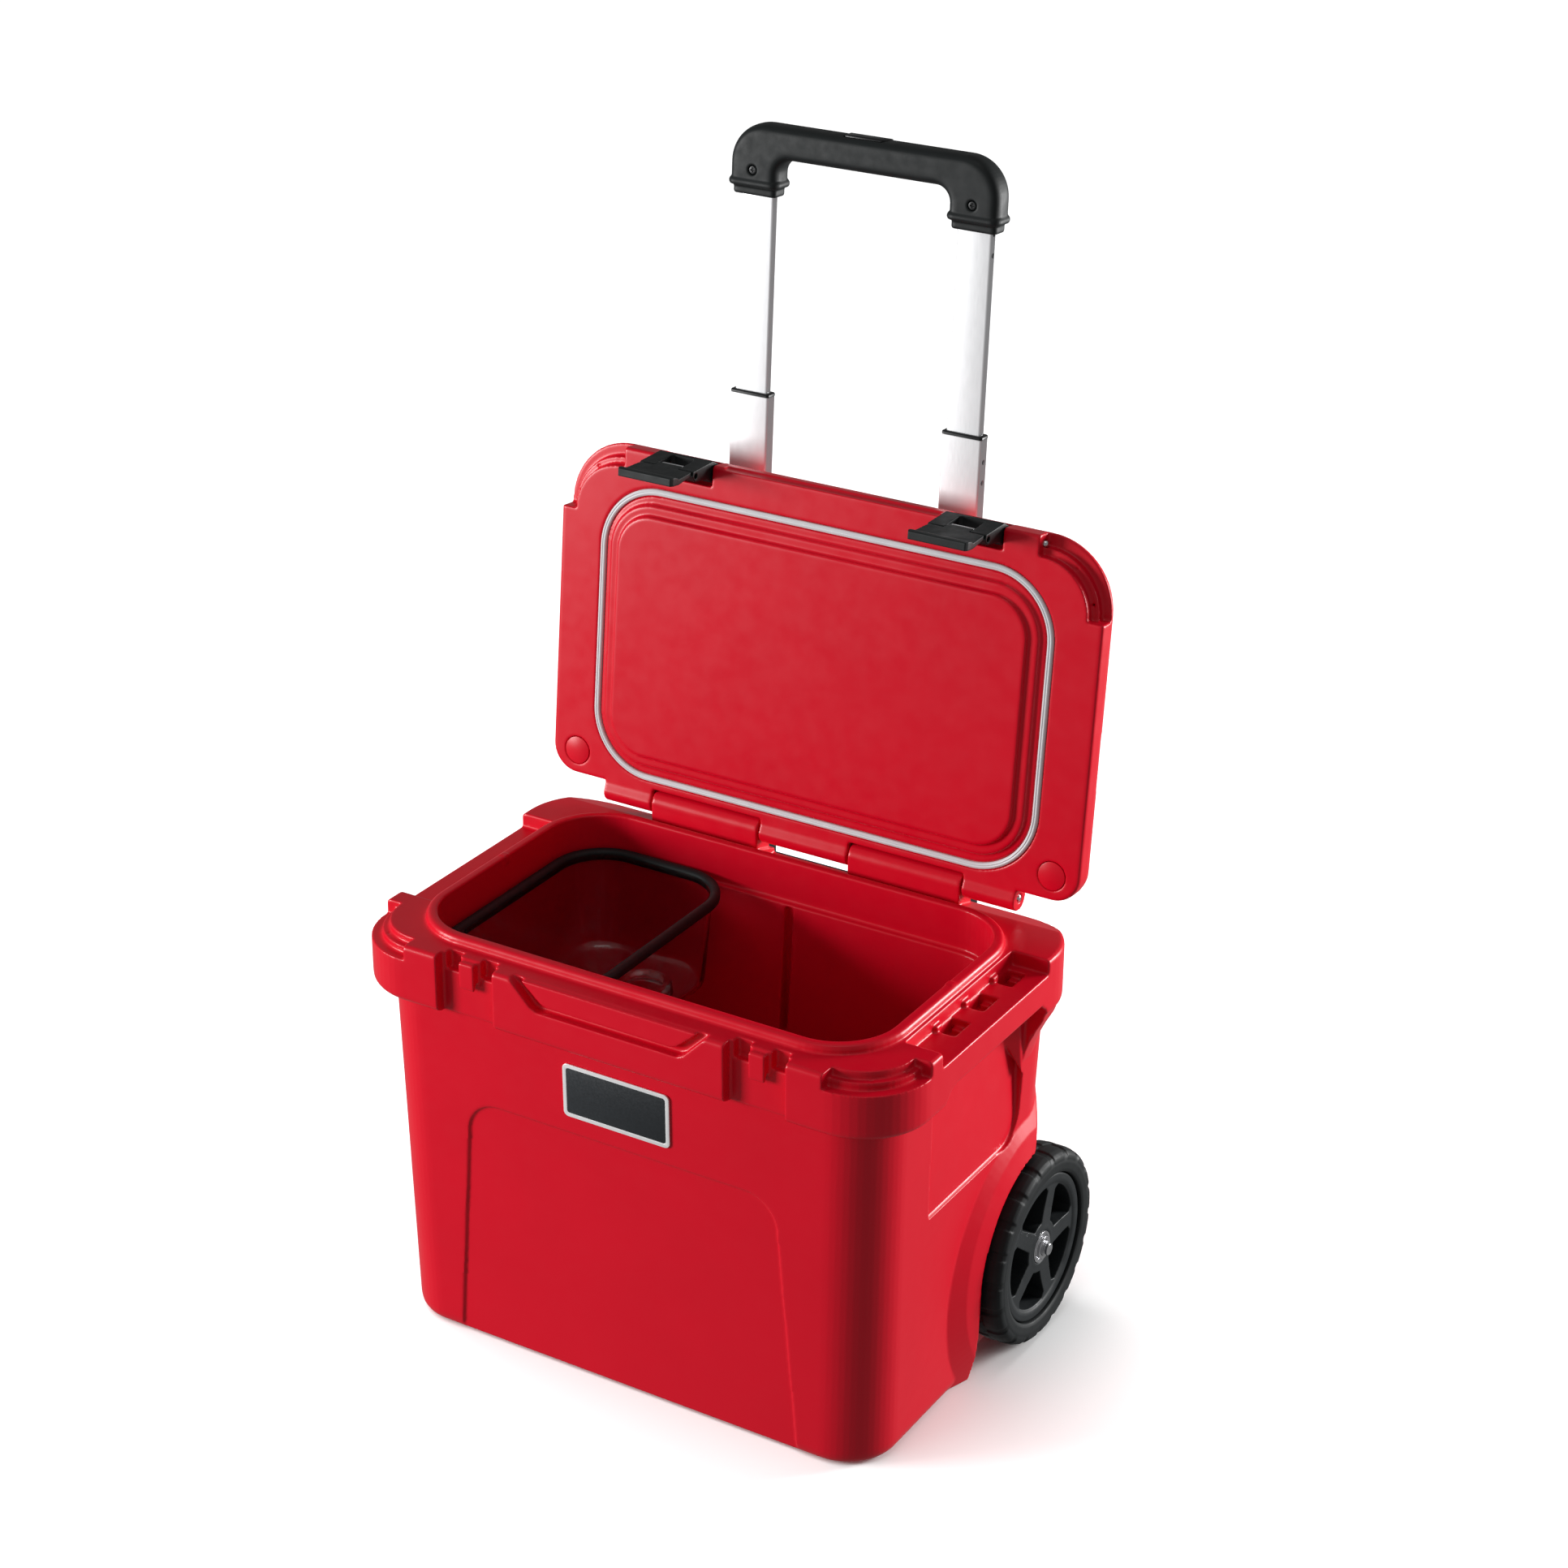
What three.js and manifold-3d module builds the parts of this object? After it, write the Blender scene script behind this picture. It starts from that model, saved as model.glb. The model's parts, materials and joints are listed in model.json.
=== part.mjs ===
// Wheeled hard cooler: moulded tub and lid, telescoping handle, two wheels and a lift-out basket.
// Millimetres, +Z up, front towards -Y. The origin is on the floor, under the middle of the opening.
// The lid stands open on its stop and the handle is drawn out to its full length.
import * as THREE from 'three';
import { mergeVertices } from 'three/addons/utils/BufferGeometryUtils.js';
import Module from 'manifold-3d';

const wasm = await Module();
wasm.setup();

// ---------------------------------------------------------------- driving dimensions
const GAP = 0.3;                 // running gap between touching pieces
const SKIN = 3.6;                // thickness of the moulded skin round the foam

const BODY_HALF = 267.9;         // tub body at the floor: half width
const BODY_FRONT = -161.4;
const BODY_BACK = 166.1;
const BODY_RADIUS = 53;
const DRAFT_SIDE = 0.020;        // growth for each mm of height
const DRAFT_FRONT = 0.016;
const DRAFT_BACK = 0.061;
const BODY_TOP = 405;

const FLANGE_HALF = 298.5;       // flange round the top of the tub
const FLANGE_FRONT = -183;
const FLANGE_BACK = 191.8;
const FLANGE_RADIUS = 68.5;
const FLANGE_TOP = 426.5;
const SKIRT_BOTTOM = 369;        // lower edge of the flange at the front and the corners
const SIDE_BOTTOM = 383;         // lower edge of the flange along the hand holds
const LEDGE_TOP = 411.5;         // lowered corner ledges and side troughs

const OPENING_HALF_X = 244.9;
const OPENING_HALF_Y = 143.2;
const OPENING_RADIUS = 60;
const BEAD_WIDTH = 11;
const BEAD_TOP = 434.6;
const SHELF_TOP = 391;           // shelf inside the opening that carries the basket
const SHELF_WIDTH = 6;
const FLOOR_TOP = 45;
const FLOOR_HALF_X = 229;
const FLOOR_FRONT = -129;
const FLOOR_BACK = 108;

const MOON_X = 230.5;            // centre of the quarter-moon ledges at the front corners
const MOON_Y = -115;
const MOON_RADIUS = 50;
const MOON_STEP = 7;

const LATCH_X = 157.5;           // middle of each latch
const LATCH_SLOT_HALF = 31.9;
const KEEPER_HALF = 8.4;

const HINGE_Y = 172;
const HINGE_Z = 446;
const HINGE_RADIUS = 12.5;
const PIN_RADIUS = 4.2;
const BARREL_MIDDLE = 50;        // the lid's middle barrel spans minus to plus this
const KNUCKLE_IN = 51.5;
const KNUCKLE_OUT = 175;
const BARREL_IN = 176.5;
const BARREL_OUT = 233;
const LID_OPEN_DEG = 95.8;

const LID_HALF = 297.4;
const LID_FRONT = -185;
const LID_BACK = 162;
const LID_UNDER = 436.4;
const LID_TOP = 472.5;
const GASKET_HALF_X = 246.3;
const GASKET_HALF_Y = 146.9;
const GASKET_WIDTH = 6.4;
const GASKET_RADIUS = 64;

const ROD_Y = -174.5;            // latch rod along the lid's front edge
const ROD_Z = 449;
const ROD_RADIUS = 3.2;
const LATCH_ROOF = 460;          // roof of the latch recess in the lid's front edge

const WHEEL_Y = 131.6;
const WHEEL_RADIUS = 99.7;
const WHEEL_IN = 254.4;
const WHEEL_OUT = 297.8;
const WELL_RADIUS = 106;
const WELL_IN = 250;
const AXLE_RADIUS = 7.5;
const SWELL = 13;                // how far the side stands out round a wheel well
const SWELL_END_Y = 160;
const SWELL_FADE = 50;

const DRAIN_Z = 54;              // middle of the drain, low on the back

const TUBE_X = 115.7;            // middle of the handle tubes
const HANDLE_TILT_DEG = 3.45;
const HANDLE_Y = 230.15;         // tube centre plane at the height HANDLE_Z
const HANDLE_Z = 435.1;
const TUBE_WALL = 1.7;
const STAGES = [                 // outer width and depth of each tube, lowest first
  { name: 'sleeve', width: 54, depth: 25, bottom: -385, top: 45.9 },
  { name: 'stage_low', width: 48, depth: 19.5, bottom: -25, top: 235.9 },
  { name: 'stage_mid', width: 42, depth: 14, bottom: 169, top: 425.9 },
  { name: 'stage_top', width: 36, depth: 8.5, bottom: 359, top: 640 },
];
const COLLAR_LIP = 3.3;

const BASKET_LEFT = -241;
const BASKET_RIGHT = -55.5;
const BASKET_HALF_Y = 139.5;
const BASKET_BOTTOM = 296;

// ---------------------------------------------------------------- materials
function finish(color, roughness, metalness) {
  return new THREE.MeshStandardMaterial({ color, roughness, metalness });
}
const RED = finish(0xc8142a, 0.42, 0);
const FOAM = finish(0xe9dfb8, 0.95, 0);
const BLACK = finish(0x1c1e1f, 0.6, 0);
const RUBBER = finish(0x151616, 0.85, 0);
const STEEL = finish(0xc9cbcc, 0.3, 1);
const ALUMINIUM = finish(0xd9dbdd, 0.38, 1);
const GASKET_GREY = finish(0xcfd0d2, 0.7, 0);
const PALE = finish(0xe4e4e2, 0.5, 0);
const CLEAR = finish(0xd8e0e0, 0.1, 0);

// ---------------------------------------------------------------- outlines
function arc(cx, cy, radius, from, to, steps) {
  const points = [];
  for (let i = 0; i <= steps; i += 1) {
    const angle = THREE.MathUtils.degToRad(from + (to - from) * i / steps);
    points.push(new THREE.Vector2(cx + radius * Math.cos(angle), cy + radius * Math.sin(angle)));
  }
  return points;
}

function polygon(...pairs) {
  return pairs.map(([x, y]) => new THREE.Vector2(x, y));
}

function roundedRect(x0, x1, y0, y1, radius, steps = 5) {
  return [
    ...arc(x1 - radius, y0 + radius, radius, -90, 0, steps),
    ...arc(x1 - radius, y1 - radius, radius, 0, 90, steps),
    ...arc(x0 + radius, y1 - radius, radius, 90, 180, steps),
    ...arc(x0 + radius, y0 + radius, radius, 180, 270, steps),
  ];
}

function mirrorX(points) {
  return points.map((point) => new THREE.Vector2(-point.x, point.y)).reverse();
}

// ---------------------------------------------------------------- solids
function solid(geometry) {
  const bare = geometry.clone();
  bare.deleteAttribute('normal');
  bare.deleteAttribute('uv');
  const merged = mergeVertices(bare, 1e-4);
  return new wasm.Manifold(new wasm.Mesh({
    numProp: 3,
    vertProperties: new Float32Array(merged.attributes.position.array),
    triVerts: new Uint32Array(merged.index.array),
  }));
}

function geometryOf(body) {
  const mesh = body.getMesh();
  const geometry = new THREE.BufferGeometry();
  geometry.setAttribute('position', new THREE.BufferAttribute(new Float32Array(mesh.vertProperties), 3));
  geometry.setIndex(new THREE.BufferAttribute(new Uint32Array(mesh.triVerts), 1));
  return geometry;
}

function join(...bodies) {
  return bodies.reduce((whole, body) => whole.add(body));
}

function cut(body, ...tools) {
  return tools.reduce((whole, tool) => whole.subtract(tool), body);
}

function extruded(points, depth, holes = []) {
  const shape = new THREE.Shape(points);
  holes.forEach((hole) => shape.holes.push(new THREE.Path(hole)));
  return new THREE.ExtrudeGeometry(shape, { depth, bevelEnabled: false });
}

// An outline in x and y, from height z0 to z1.
function prismZ(points, z0, z1, holes = []) {
  return solid(extruded(points, z1 - z0, holes).translate(0, 0, z0));
}

// An outline in y and z, from x0 to x1.
function prismX(points, x0, x1) {
  const turn = new THREE.Matrix4().makeBasis(
    new THREE.Vector3(0, 1, 0), new THREE.Vector3(0, 0, 1), new THREE.Vector3(1, 0, 0));
  return solid(extruded(points, x1 - x0).applyMatrix4(turn).translate(x0, 0, 0));
}

// An outline in x and z, from y0 to y1.
function prismY(points, y0, y1) {
  const turn = new THREE.Matrix4().makeBasis(
    new THREE.Vector3(1, 0, 0), new THREE.Vector3(0, 0, 1), new THREE.Vector3(0, -1, 0));
  return solid(extruded(points, y1 - y0).applyMatrix4(turn).translate(0, y1, 0));
}

function box(x0, x1, y0, y1, z0, z1) {
  const geometry = new THREE.BoxGeometry(x1 - x0, y1 - y0, z1 - z0);
  return solid(geometry.translate((x0 + x1) / 2, (y0 + y1) / 2, (z0 + z1) / 2));
}

function rodX(x0, x1, y, z, radius, sides = 16) {
  return prismX(arc(y, z, radius, 0, 360 - 360 / sides, sides - 1), x0, x1);
}

function rodY(x, z, y0, y1, radius, sides = 12) {
  return prismY(arc(x, z, radius, 0, 360 - 360 / sides, sides - 1), y0, y1);
}

function rodZ(x, y, z0, z1, radius, sides = 16) {
  return prismZ(arc(x, y, radius, 0, 360 - 360 / sides, sides - 1), z0, z1);
}

// An outline that shrinks by an inset at each height of a profile of [inset, z] pairs.
function lofted(points, profile, warp = null) {
  const count = points.length;
  const inward = points.map((point, i) => {
    const before = points[(i + count - 1) % count];
    const after = points[(i + 1) % count];
    const a = point.clone().sub(before).normalize();
    const b = after.clone().sub(point).normalize();
    const middle = a.clone().add(b).normalize();
    const stretch = 1 / Math.max(0.5, middle.dot(a));
    return new THREE.Vector2(-middle.y, middle.x).multiplyScalar(stretch);
  });
  const steps = profile.length - 1;
  const shape = new THREE.Shape(points);
  const geometry = new THREE.ExtrudeGeometry(shape, { depth: steps, steps, bevelEnabled: false });
  const position = geometry.attributes.position;
  for (let i = 0; i < position.count; i += 1) {
    const here = new THREE.Vector2(position.getX(i), position.getY(i));
    const [inset, z] = profile[Math.round(position.getZ(i))];
    let nearest = 0;
    points.forEach((point, k) => {
      if (point.distanceToSquared(here) < points[nearest].distanceToSquared(here)) nearest = k;
    });
    const moved = here.addScaledVector(inward[nearest], inset);
    const spot = new THREE.Vector3(moved.x, moved.y, z);
    if (warp) warp(spot);
    position.setXYZ(i, spot.x, spot.y, spot.z);
  }
  return solid(geometry);
}

// The body's draft: every side leans out as it rises.
function bodyDraft(spot) {
  spot.x += Math.sign(spot.x) * DRAFT_SIDE * spot.z;
  spot.y += (spot.y > 0 ? DRAFT_BACK : -DRAFT_FRONT) * spot.z;
}

function bodyFrontAt(z) {
  return BODY_FRONT - DRAFT_FRONT * z;
}

function bodyBackAt(z) {
  return BODY_BACK + DRAFT_BACK * z;
}

const root = new THREE.Group();

function place(name, body, material, parent = root) {
  const mesh = new THREE.Mesh(body.isBufferGeometry ? body : geometryOf(body), material);
  mesh.name = name;
  parent.add(mesh);
  return mesh;
}

// ---------------------------------------------------------------- tub
// The inside of the tub below the shelf, grown by a margin for the skin.
function basin(margin) {
  const floor = roundedRect(
    -FLOOR_HALF_X - margin, FLOOR_HALF_X + margin, FLOOR_FRONT - margin, FLOOR_BACK + margin, 50);
  const rise = SHELF_TOP - FLOOR_TOP;
  const lean = (spot) => {
    const share = (spot.z - FLOOR_TOP) / rise;
    spot.x += Math.sign(spot.x) * share * (OPENING_HALF_X - SHELF_WIDTH - FLOOR_HALF_X);
    const gain = spot.y > 0 ? OPENING_HALF_Y - SHELF_WIDTH - FLOOR_BACK
      : -(OPENING_HALF_Y - SHELF_WIDTH + FLOOR_FRONT);
    spot.y += share * gain;
  };
  const profile = [
    [12, FLOOR_TOP - margin], [0, FLOOR_TOP + 12 - margin], [0, SHELF_TOP + 12],
  ];
  return lofted(floor, profile, lean);
}

// The wheel well: round over the wheel, straight down in front of it.
function well(side, margin) {
  const radius = WELL_RADIUS + margin;
  const x0 = side > 0 ? WELL_IN - margin : -330;
  const x1 = side > 0 ? 330 : -WELL_IN + margin;
  const over = rodX(x0, x1, WHEEL_Y, WHEEL_RADIUS, radius, 32);
  const front = prismX(polygon(
    [WHEEL_Y - radius, -20], [WHEEL_Y + radius + 20, -20],
    [WHEEL_Y + radius + 20, WHEEL_RADIUS], [WHEEL_Y - radius, WHEEL_RADIUS]), x0, x1);
  return over.add(front);
}

// The flat cone that swells the body's side round a wheel well and dies away before the rear corner.
function fender(side) {
  const profile = polygon([0, 230], [200, 230], [200, 249], [128, 279], [106, 284], [0, 284]);
  const disc = new THREE.LatheGeometry([...profile, profile[0]], 32);
  disc.rotateZ(-Math.PI / 2);
  disc.translate(0, WHEEL_Y, WHEEL_RADIUS);
  if (side < 0) disc.rotateZ(Math.PI).translate(0, 2 * WHEEL_Y, 0);
  const swell = (spot) => {
    const share = THREE.MathUtils.clamp((SWELL_END_Y - spot.y) / SWELL_FADE, 0, 1);
    spot.x += Math.sign(spot.x) * SWELL * share;
    bodyDraft(spot);
  };
  const limit = roundedRect(-BODY_HALF, BODY_HALF, BODY_FRONT, BODY_BACK, 60);
  return solid(disc).intersect(lofted(limit, [[8, 0.4], [0, 9], [0, 300]], swell));
}

// The hand hold: a recess under the flange that deepens as it rises.
function handHold(side, margin) {
  const face = prismX(polygon(
    [-65 - margin, 231 - margin], [98, 231 - margin], [118 + margin, 262], [112 + margin, 330],
    [97 + margin, SIDE_BOTTOM], [-65 - margin, SIDE_BOTTOM]),
  side > 0 ? 230 : -320, side > 0 ? 320 : -230);
  const wedge = polygon(
    [270.5 - margin, 231 - margin], [320, 231 - margin], [320, SIDE_BOTTOM], [261 - margin, SIDE_BOTTOM]);
  return face.intersect(prismY(side > 0 ? wedge : mirrorX(wedge), -90, 140));
}

// The quarter-moon outside a radius at a front corner, as an outline in x and y.
function moonOutline(side, radius) {
  const inner = arc(MOON_X, MOON_Y, radius, -90, 0, 4);
  const points = [
    new THREE.Vector2(MOON_X - 4, MOON_Y - radius), ...inner,
    new THREE.Vector2(MOON_X + radius, MOON_Y + 1.5), new THREE.Vector2(MOON_X + 90, MOON_Y + 1.5),
    new THREE.Vector2(MOON_X + 90, MOON_Y - 90), new THREE.Vector2(MOON_X - 4, MOON_Y - 90),
  ].reverse();
  return side > 0 ? points : mirrorX(points);
}

function tubShell() {
  const foot = roundedRect(-BODY_HALF, BODY_HALF, BODY_FRONT, BODY_BACK, BODY_RADIUS, 6);
  const flangeOutline = roundedRect(-FLANGE_HALF, FLANGE_HALF, FLANGE_FRONT, FLANGE_BACK, FLANGE_RADIUS, 6);
  const beadOutline = roundedRect(
    -OPENING_HALF_X - BEAD_WIDTH, OPENING_HALF_X + BEAD_WIDTH,
    -OPENING_HALF_Y - BEAD_WIDTH, OPENING_HALF_Y + BEAD_WIDTH, OPENING_RADIUS + BEAD_WIDTH);
  const openingOutline = roundedRect(
    -OPENING_HALF_X, OPENING_HALF_X, -OPENING_HALF_Y, OPENING_HALF_Y, OPENING_RADIUS);

  let tub = lofted(foot, [[7, 0], [2, 2.2], [0, 7], [0, BODY_TOP]], bodyDraft);
  const sideNotch = polygon(
    [-97, 360], [-90, 366], [-80, 376], [-70, 382], [-60, SIDE_BOTTOM],
    [92, SIDE_BOTTOM], [102, 378], [112, 366], [116, 360]);
  const flange = lofted(flangeOutline, [
    [7, SKIRT_BOTTOM - 4], [0, SKIRT_BOTTOM + 3], [0, FLANGE_TOP - 2], [2, FLANGE_TOP]]);
  const skirtCut = join(prismX(sideNotch, 262, 330), prismX(sideNotch, -330, -262));
  const rearFlare = lofted(flangeOutline, [[24, 330], [15, 347], [0, 372]])
    .intersect(box(-330, 330, 116, 230, 300, 372));
  tub = join(tub, cut(flange, skirtCut), rearFlare);
  tub = join(tub, lofted(beadOutline, [[0, FLANGE_TOP - 6], [0, BEAD_TOP - 2.5], [2.5, BEAD_TOP]]));
  tub = join(tub, fender(1), fender(-1));

  // Rear ledge falls away behind the bead, under the lid's barrels.
  const rearFall = prismX(polygon([163, FLANGE_TOP + 0.4], [200, FLANGE_TOP + 0.4], [200, 415.5]), -330, 330);
  tub = cut(tub, rearFall, box(-BARREL_MIDDLE, BARREL_MIDDLE, HINGE_Y - HINGE_RADIUS, 200, 413, 440));

  // Hinge knuckles, joined to the ledge below them.
  const knuckle = [
    ...arc(HINGE_Y, HINGE_Z, HINGE_RADIUS, 0, 180, 8),
    ...polygon([HINGE_Y - HINGE_RADIUS, 421], [HINGE_Y + HINGE_RADIUS, 414]),
  ];
  tub = join(tub, prismX(knuckle, KNUCKLE_IN, KNUCKLE_OUT), prismX(knuckle, -KNUCKLE_OUT, -KNUCKLE_IN));
  tub = cut(tub, rodX(-240, 240, HINGE_Y, HINGE_Z, PIN_RADIUS + GAP, 12));

  // Opening, shelf and basin, with the divider grooves front and back.
  tub = cut(tub, prismZ(openingOutline, SHELF_TOP, 460), basin(0));
  const groove = (y0, y1) => box(-4.5, 4.5, y0, y1, FLOOR_TOP + 6, SHELF_TOP - 3);
  const grooveLean = [box(-4.5, 4.5, 100, 141.5, 250, SHELF_TOP - 3), groove(100, 121)];
  tub = cut(tub, ...grooveLean, box(-4.5, 4.5, -141.5, -100, 250, SHELF_TOP - 3), groove(-134, -100));

  [1, -1].forEach((side) => {
    const spanX = (a, b, ...rest) => (side > 0 ? box(a, b, ...rest) : box(-b, -a, ...rest));
    // Corner ledges in two steps.
    tub = cut(tub,
      prismZ(moonOutline(side, MOON_RADIUS + MOON_STEP), LEDGE_TOP, 440),
      prismZ(moonOutline(side, MOON_RADIUS), LEDGE_TOP + 7.5, 440));
    // Side trough and its three pockets.
    tub = cut(tub, spanX(259.5, 330, -93, 109, LEDGE_TOP, 440));
    [-37, 17, 71].forEach((y) => {
      tub = cut(tub, spanX(261.5, 277, y, y + 27, LEDGE_TOP - 12, 440));
      tub = join(tub, spanX(264, 274.5, y + 18, y + 28, LEDGE_TOP - 13, LEDGE_TOP - 5));
    });
    // Latch recess in the flange, with the keeper block standing in it.
    const x0 = LATCH_X - LATCH_SLOT_HALF;
    const x1 = LATCH_X + LATCH_SLOT_HALF;
    tub = cut(tub, spanX(x0, x1, -200, -171, 355, 440));
    const keeper = polygon(
      [-169, 424], [-177.5, 424], [-179, 422], [-179, 398], [-176.5, 396.5], [-175, 402], [-169, 408]);
    const k0 = side > 0 ? LATCH_X - KEEPER_HALF : -LATCH_X - KEEPER_HALF;
    tub = join(tub, prismX(keeper, k0, k0 + 2 * KEEPER_HALF));
    tub = cut(tub, spanX(x0 + 3, LATCH_X - KEEPER_HALF - 3, -200, -163, 404, 440));
    tub = cut(tub, spanX(LATCH_X + KEEPER_HALF + 3, x1 - 3, -200, -163, 404, 440));
    // Wheel well and hand hold.
    tub = cut(tub, well(side, 0), handHold(side, 0));
  });

  // Scoop in the middle of the flange with a raised bar inside it.
  const scoop = polygon([-76, 399], [76, 399], [83, 402], [110, 430], [-110, 430], [-83, 402]);
  const bar = polygon([-68, 405], [68, 405], [74, 407], [96, 426], [-96, 426], [-74, 407]);
  tub = cut(tub, prismY(scoop, -190, -173));
  tub = join(tub, prismY(bar, -179, -170));

  // Shallow panel on the front of the body.
  const panel = [
    new THREE.Vector2(-193, -10), new THREE.Vector2(193, -10),
    ...arc(136, 235, 36, -4, 90, 4), ...arc(-136, 235, 36, 90, 184, 4),
  ];
  const panelDepth = prismX(polygon(
    [-190, -10], [bodyFrontAt(-10) + 2.5, -10], [bodyFrontAt(290) + 2.5, 290], [-190, 290]), -220, 220);
  tub = cut(tub, prismY(panel, -190, -150).intersect(panelDepth));

  // Bores for the axle and the drain.
  tub = cut(tub,
    rodX(-270, 270, WHEEL_Y, WHEEL_RADIUS, AXLE_RADIUS + 0.7, 16),
    rodY(0, DRAIN_Z, 90, 190, 9.2, 16));
  return tub;
}

// The space between the outer and the inner skin.
function foamSpace(gap) {
  const skin = SKIN + gap;
  const foot = roundedRect(
    -BODY_HALF + skin, BODY_HALF - skin, BODY_FRONT + skin, BODY_BACK - skin, BODY_RADIUS - 4, 6);
  const outer = lofted(foot, [[6, 5 + gap], [0, 12 + gap], [0, 394 - gap]], bodyDraft);
  const mouth = roundedRect(
    -OPENING_HALF_X - skin, OPENING_HALF_X + skin,
    -OPENING_HALF_Y - skin, OPENING_HALF_Y + skin, OPENING_RADIUS);
  return cut(outer,
    prismZ(mouth, SHELF_TOP - skin, 460),
    basin(SKIN + gap),
    well(1, SKIN + gap), well(-1, SKIN + gap),
    handHold(1, SKIN + gap), handHold(-1, SKIN + gap),
    box(-9 - gap, 9 + gap, -160, 160, 5, 400),
    rodX(-270, 270, WHEEL_Y, WHEEL_RADIUS, AXLE_RADIUS + 4.5 + gap, 12),
    rodY(0, DRAIN_Z, 60, 190, 13 + gap, 12));
}

const FILL_X = 90;
const FILL_Y = 60;
const fillBore = rodZ(FILL_X, FILL_Y, -5, 12, 13);
place('tub_shell', cut(tubShell(), foamSpace(0), fillBore), RED);
place('tub_foam', foamSpace(GAP), FOAM);
place('tub_fill_plug', rodZ(FILL_X, FILL_Y, 0.8, 4.9, 13 - GAP), RED);

const drainBack = bodyBackAt(DRAIN_Z);
place('drain_plug', join(
  rodY(0, DRAIN_Z, 130, drainBack + 4, 8.8, 16),
  rodY(0, DRAIN_Z, drainBack + 3.6, drainBack + 11, 15.5, 12)), BLACK);
place('drain_seal', rodY(0, DRAIN_Z, drainBack + 1.3, drainBack + 3.3, 13.5, 16)
  .subtract(rodY(0, DRAIN_Z, 160, 190, 9.3, 16)), RUBBER);

place('hinge_pin', rodX(-234, 234, HINGE_Y, HINGE_Z, PIN_RADIUS, 12), STEEL);
place('axle', rodX(-301, 301, WHEEL_Y, WHEEL_RADIUS, AXLE_RADIUS, 16), STEEL);

// Badge: a pale rim round a dark field, lying on the drafted front.
const badge = new THREE.Group();
badge.position.set(0, bodyFrontAt(318) - GAP, 318);
badge.rotation.x = DRAFT_FRONT;
root.add(badge);
const badgeRim = roundedRect(-58.5, 58.5, -28, 28, 5, 4);
const badgeField = roundedRect(-55.2, 55.2, -24.7, 24.7, 3, 4);
place('badge_rim', prismY(badgeRim, -1.6, 0).subtract(prismY(badgeField, -2, -0.6)), PALE, badge);
place('badge_field', prismY(roundedRect(-54.9, 54.9, -24.4, 24.4, 3, 4), -1.5, -0.9), BLACK, badge);

// ---------------------------------------------------------------- lid, modelled shut in a turned group
const lid = new THREE.Group();
lid.position.set(0, HINGE_Y, HINGE_Z);
lid.rotation.x = -THREE.MathUtils.degToRad(LID_OPEN_DEG);
root.add(lid);
const shut = new THREE.Group();
shut.position.set(0, -HINGE_Y, -HINGE_Z);
lid.add(shut);

function lidOutline(inset, radiusBack) {
  const x = LID_HALF - inset;
  return [
    ...arc(x - 68, LID_FRONT + inset + 68, 68, -90, 0, 6),
    ...arc(x - radiusBack, LID_BACK - inset - radiusBack, radiusBack, 0, 90, 4),
    ...arc(-x + radiusBack, LID_BACK - inset - radiusBack, radiusBack, 90, 180, 4),
    ...arc(-x + 68, LID_FRONT + inset + 68, 68, 180, 270, 6),
  ];
}

function lidHollow(gap) {
  const wide = roundedRect(
    -MOON_X - 45 + gap, MOON_X + 45 - gap, -159.5 + gap, 148 - gap, 45 - gap);
  const plug = roundedRect(-228 + gap, 228 - gap, -126 + gap, 126 - gap, 42);
  return join(
    lofted(wide, [[0, 443 + gap], [0, 460], [5, LID_TOP - 5 - gap]]),
    prismZ(plug, 432 + gap, 444 + gap));
}

function gasketOutline(grow) {
  return roundedRect(
    -GASKET_HALF_X - grow, GASKET_HALF_X + grow,
    -GASKET_HALF_Y - grow, GASKET_HALF_Y + grow, GASKET_RADIUS + grow);
}

const FILL_SPOTS = [[268.3, 137.4], [-268.3, 137.4]];

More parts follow.
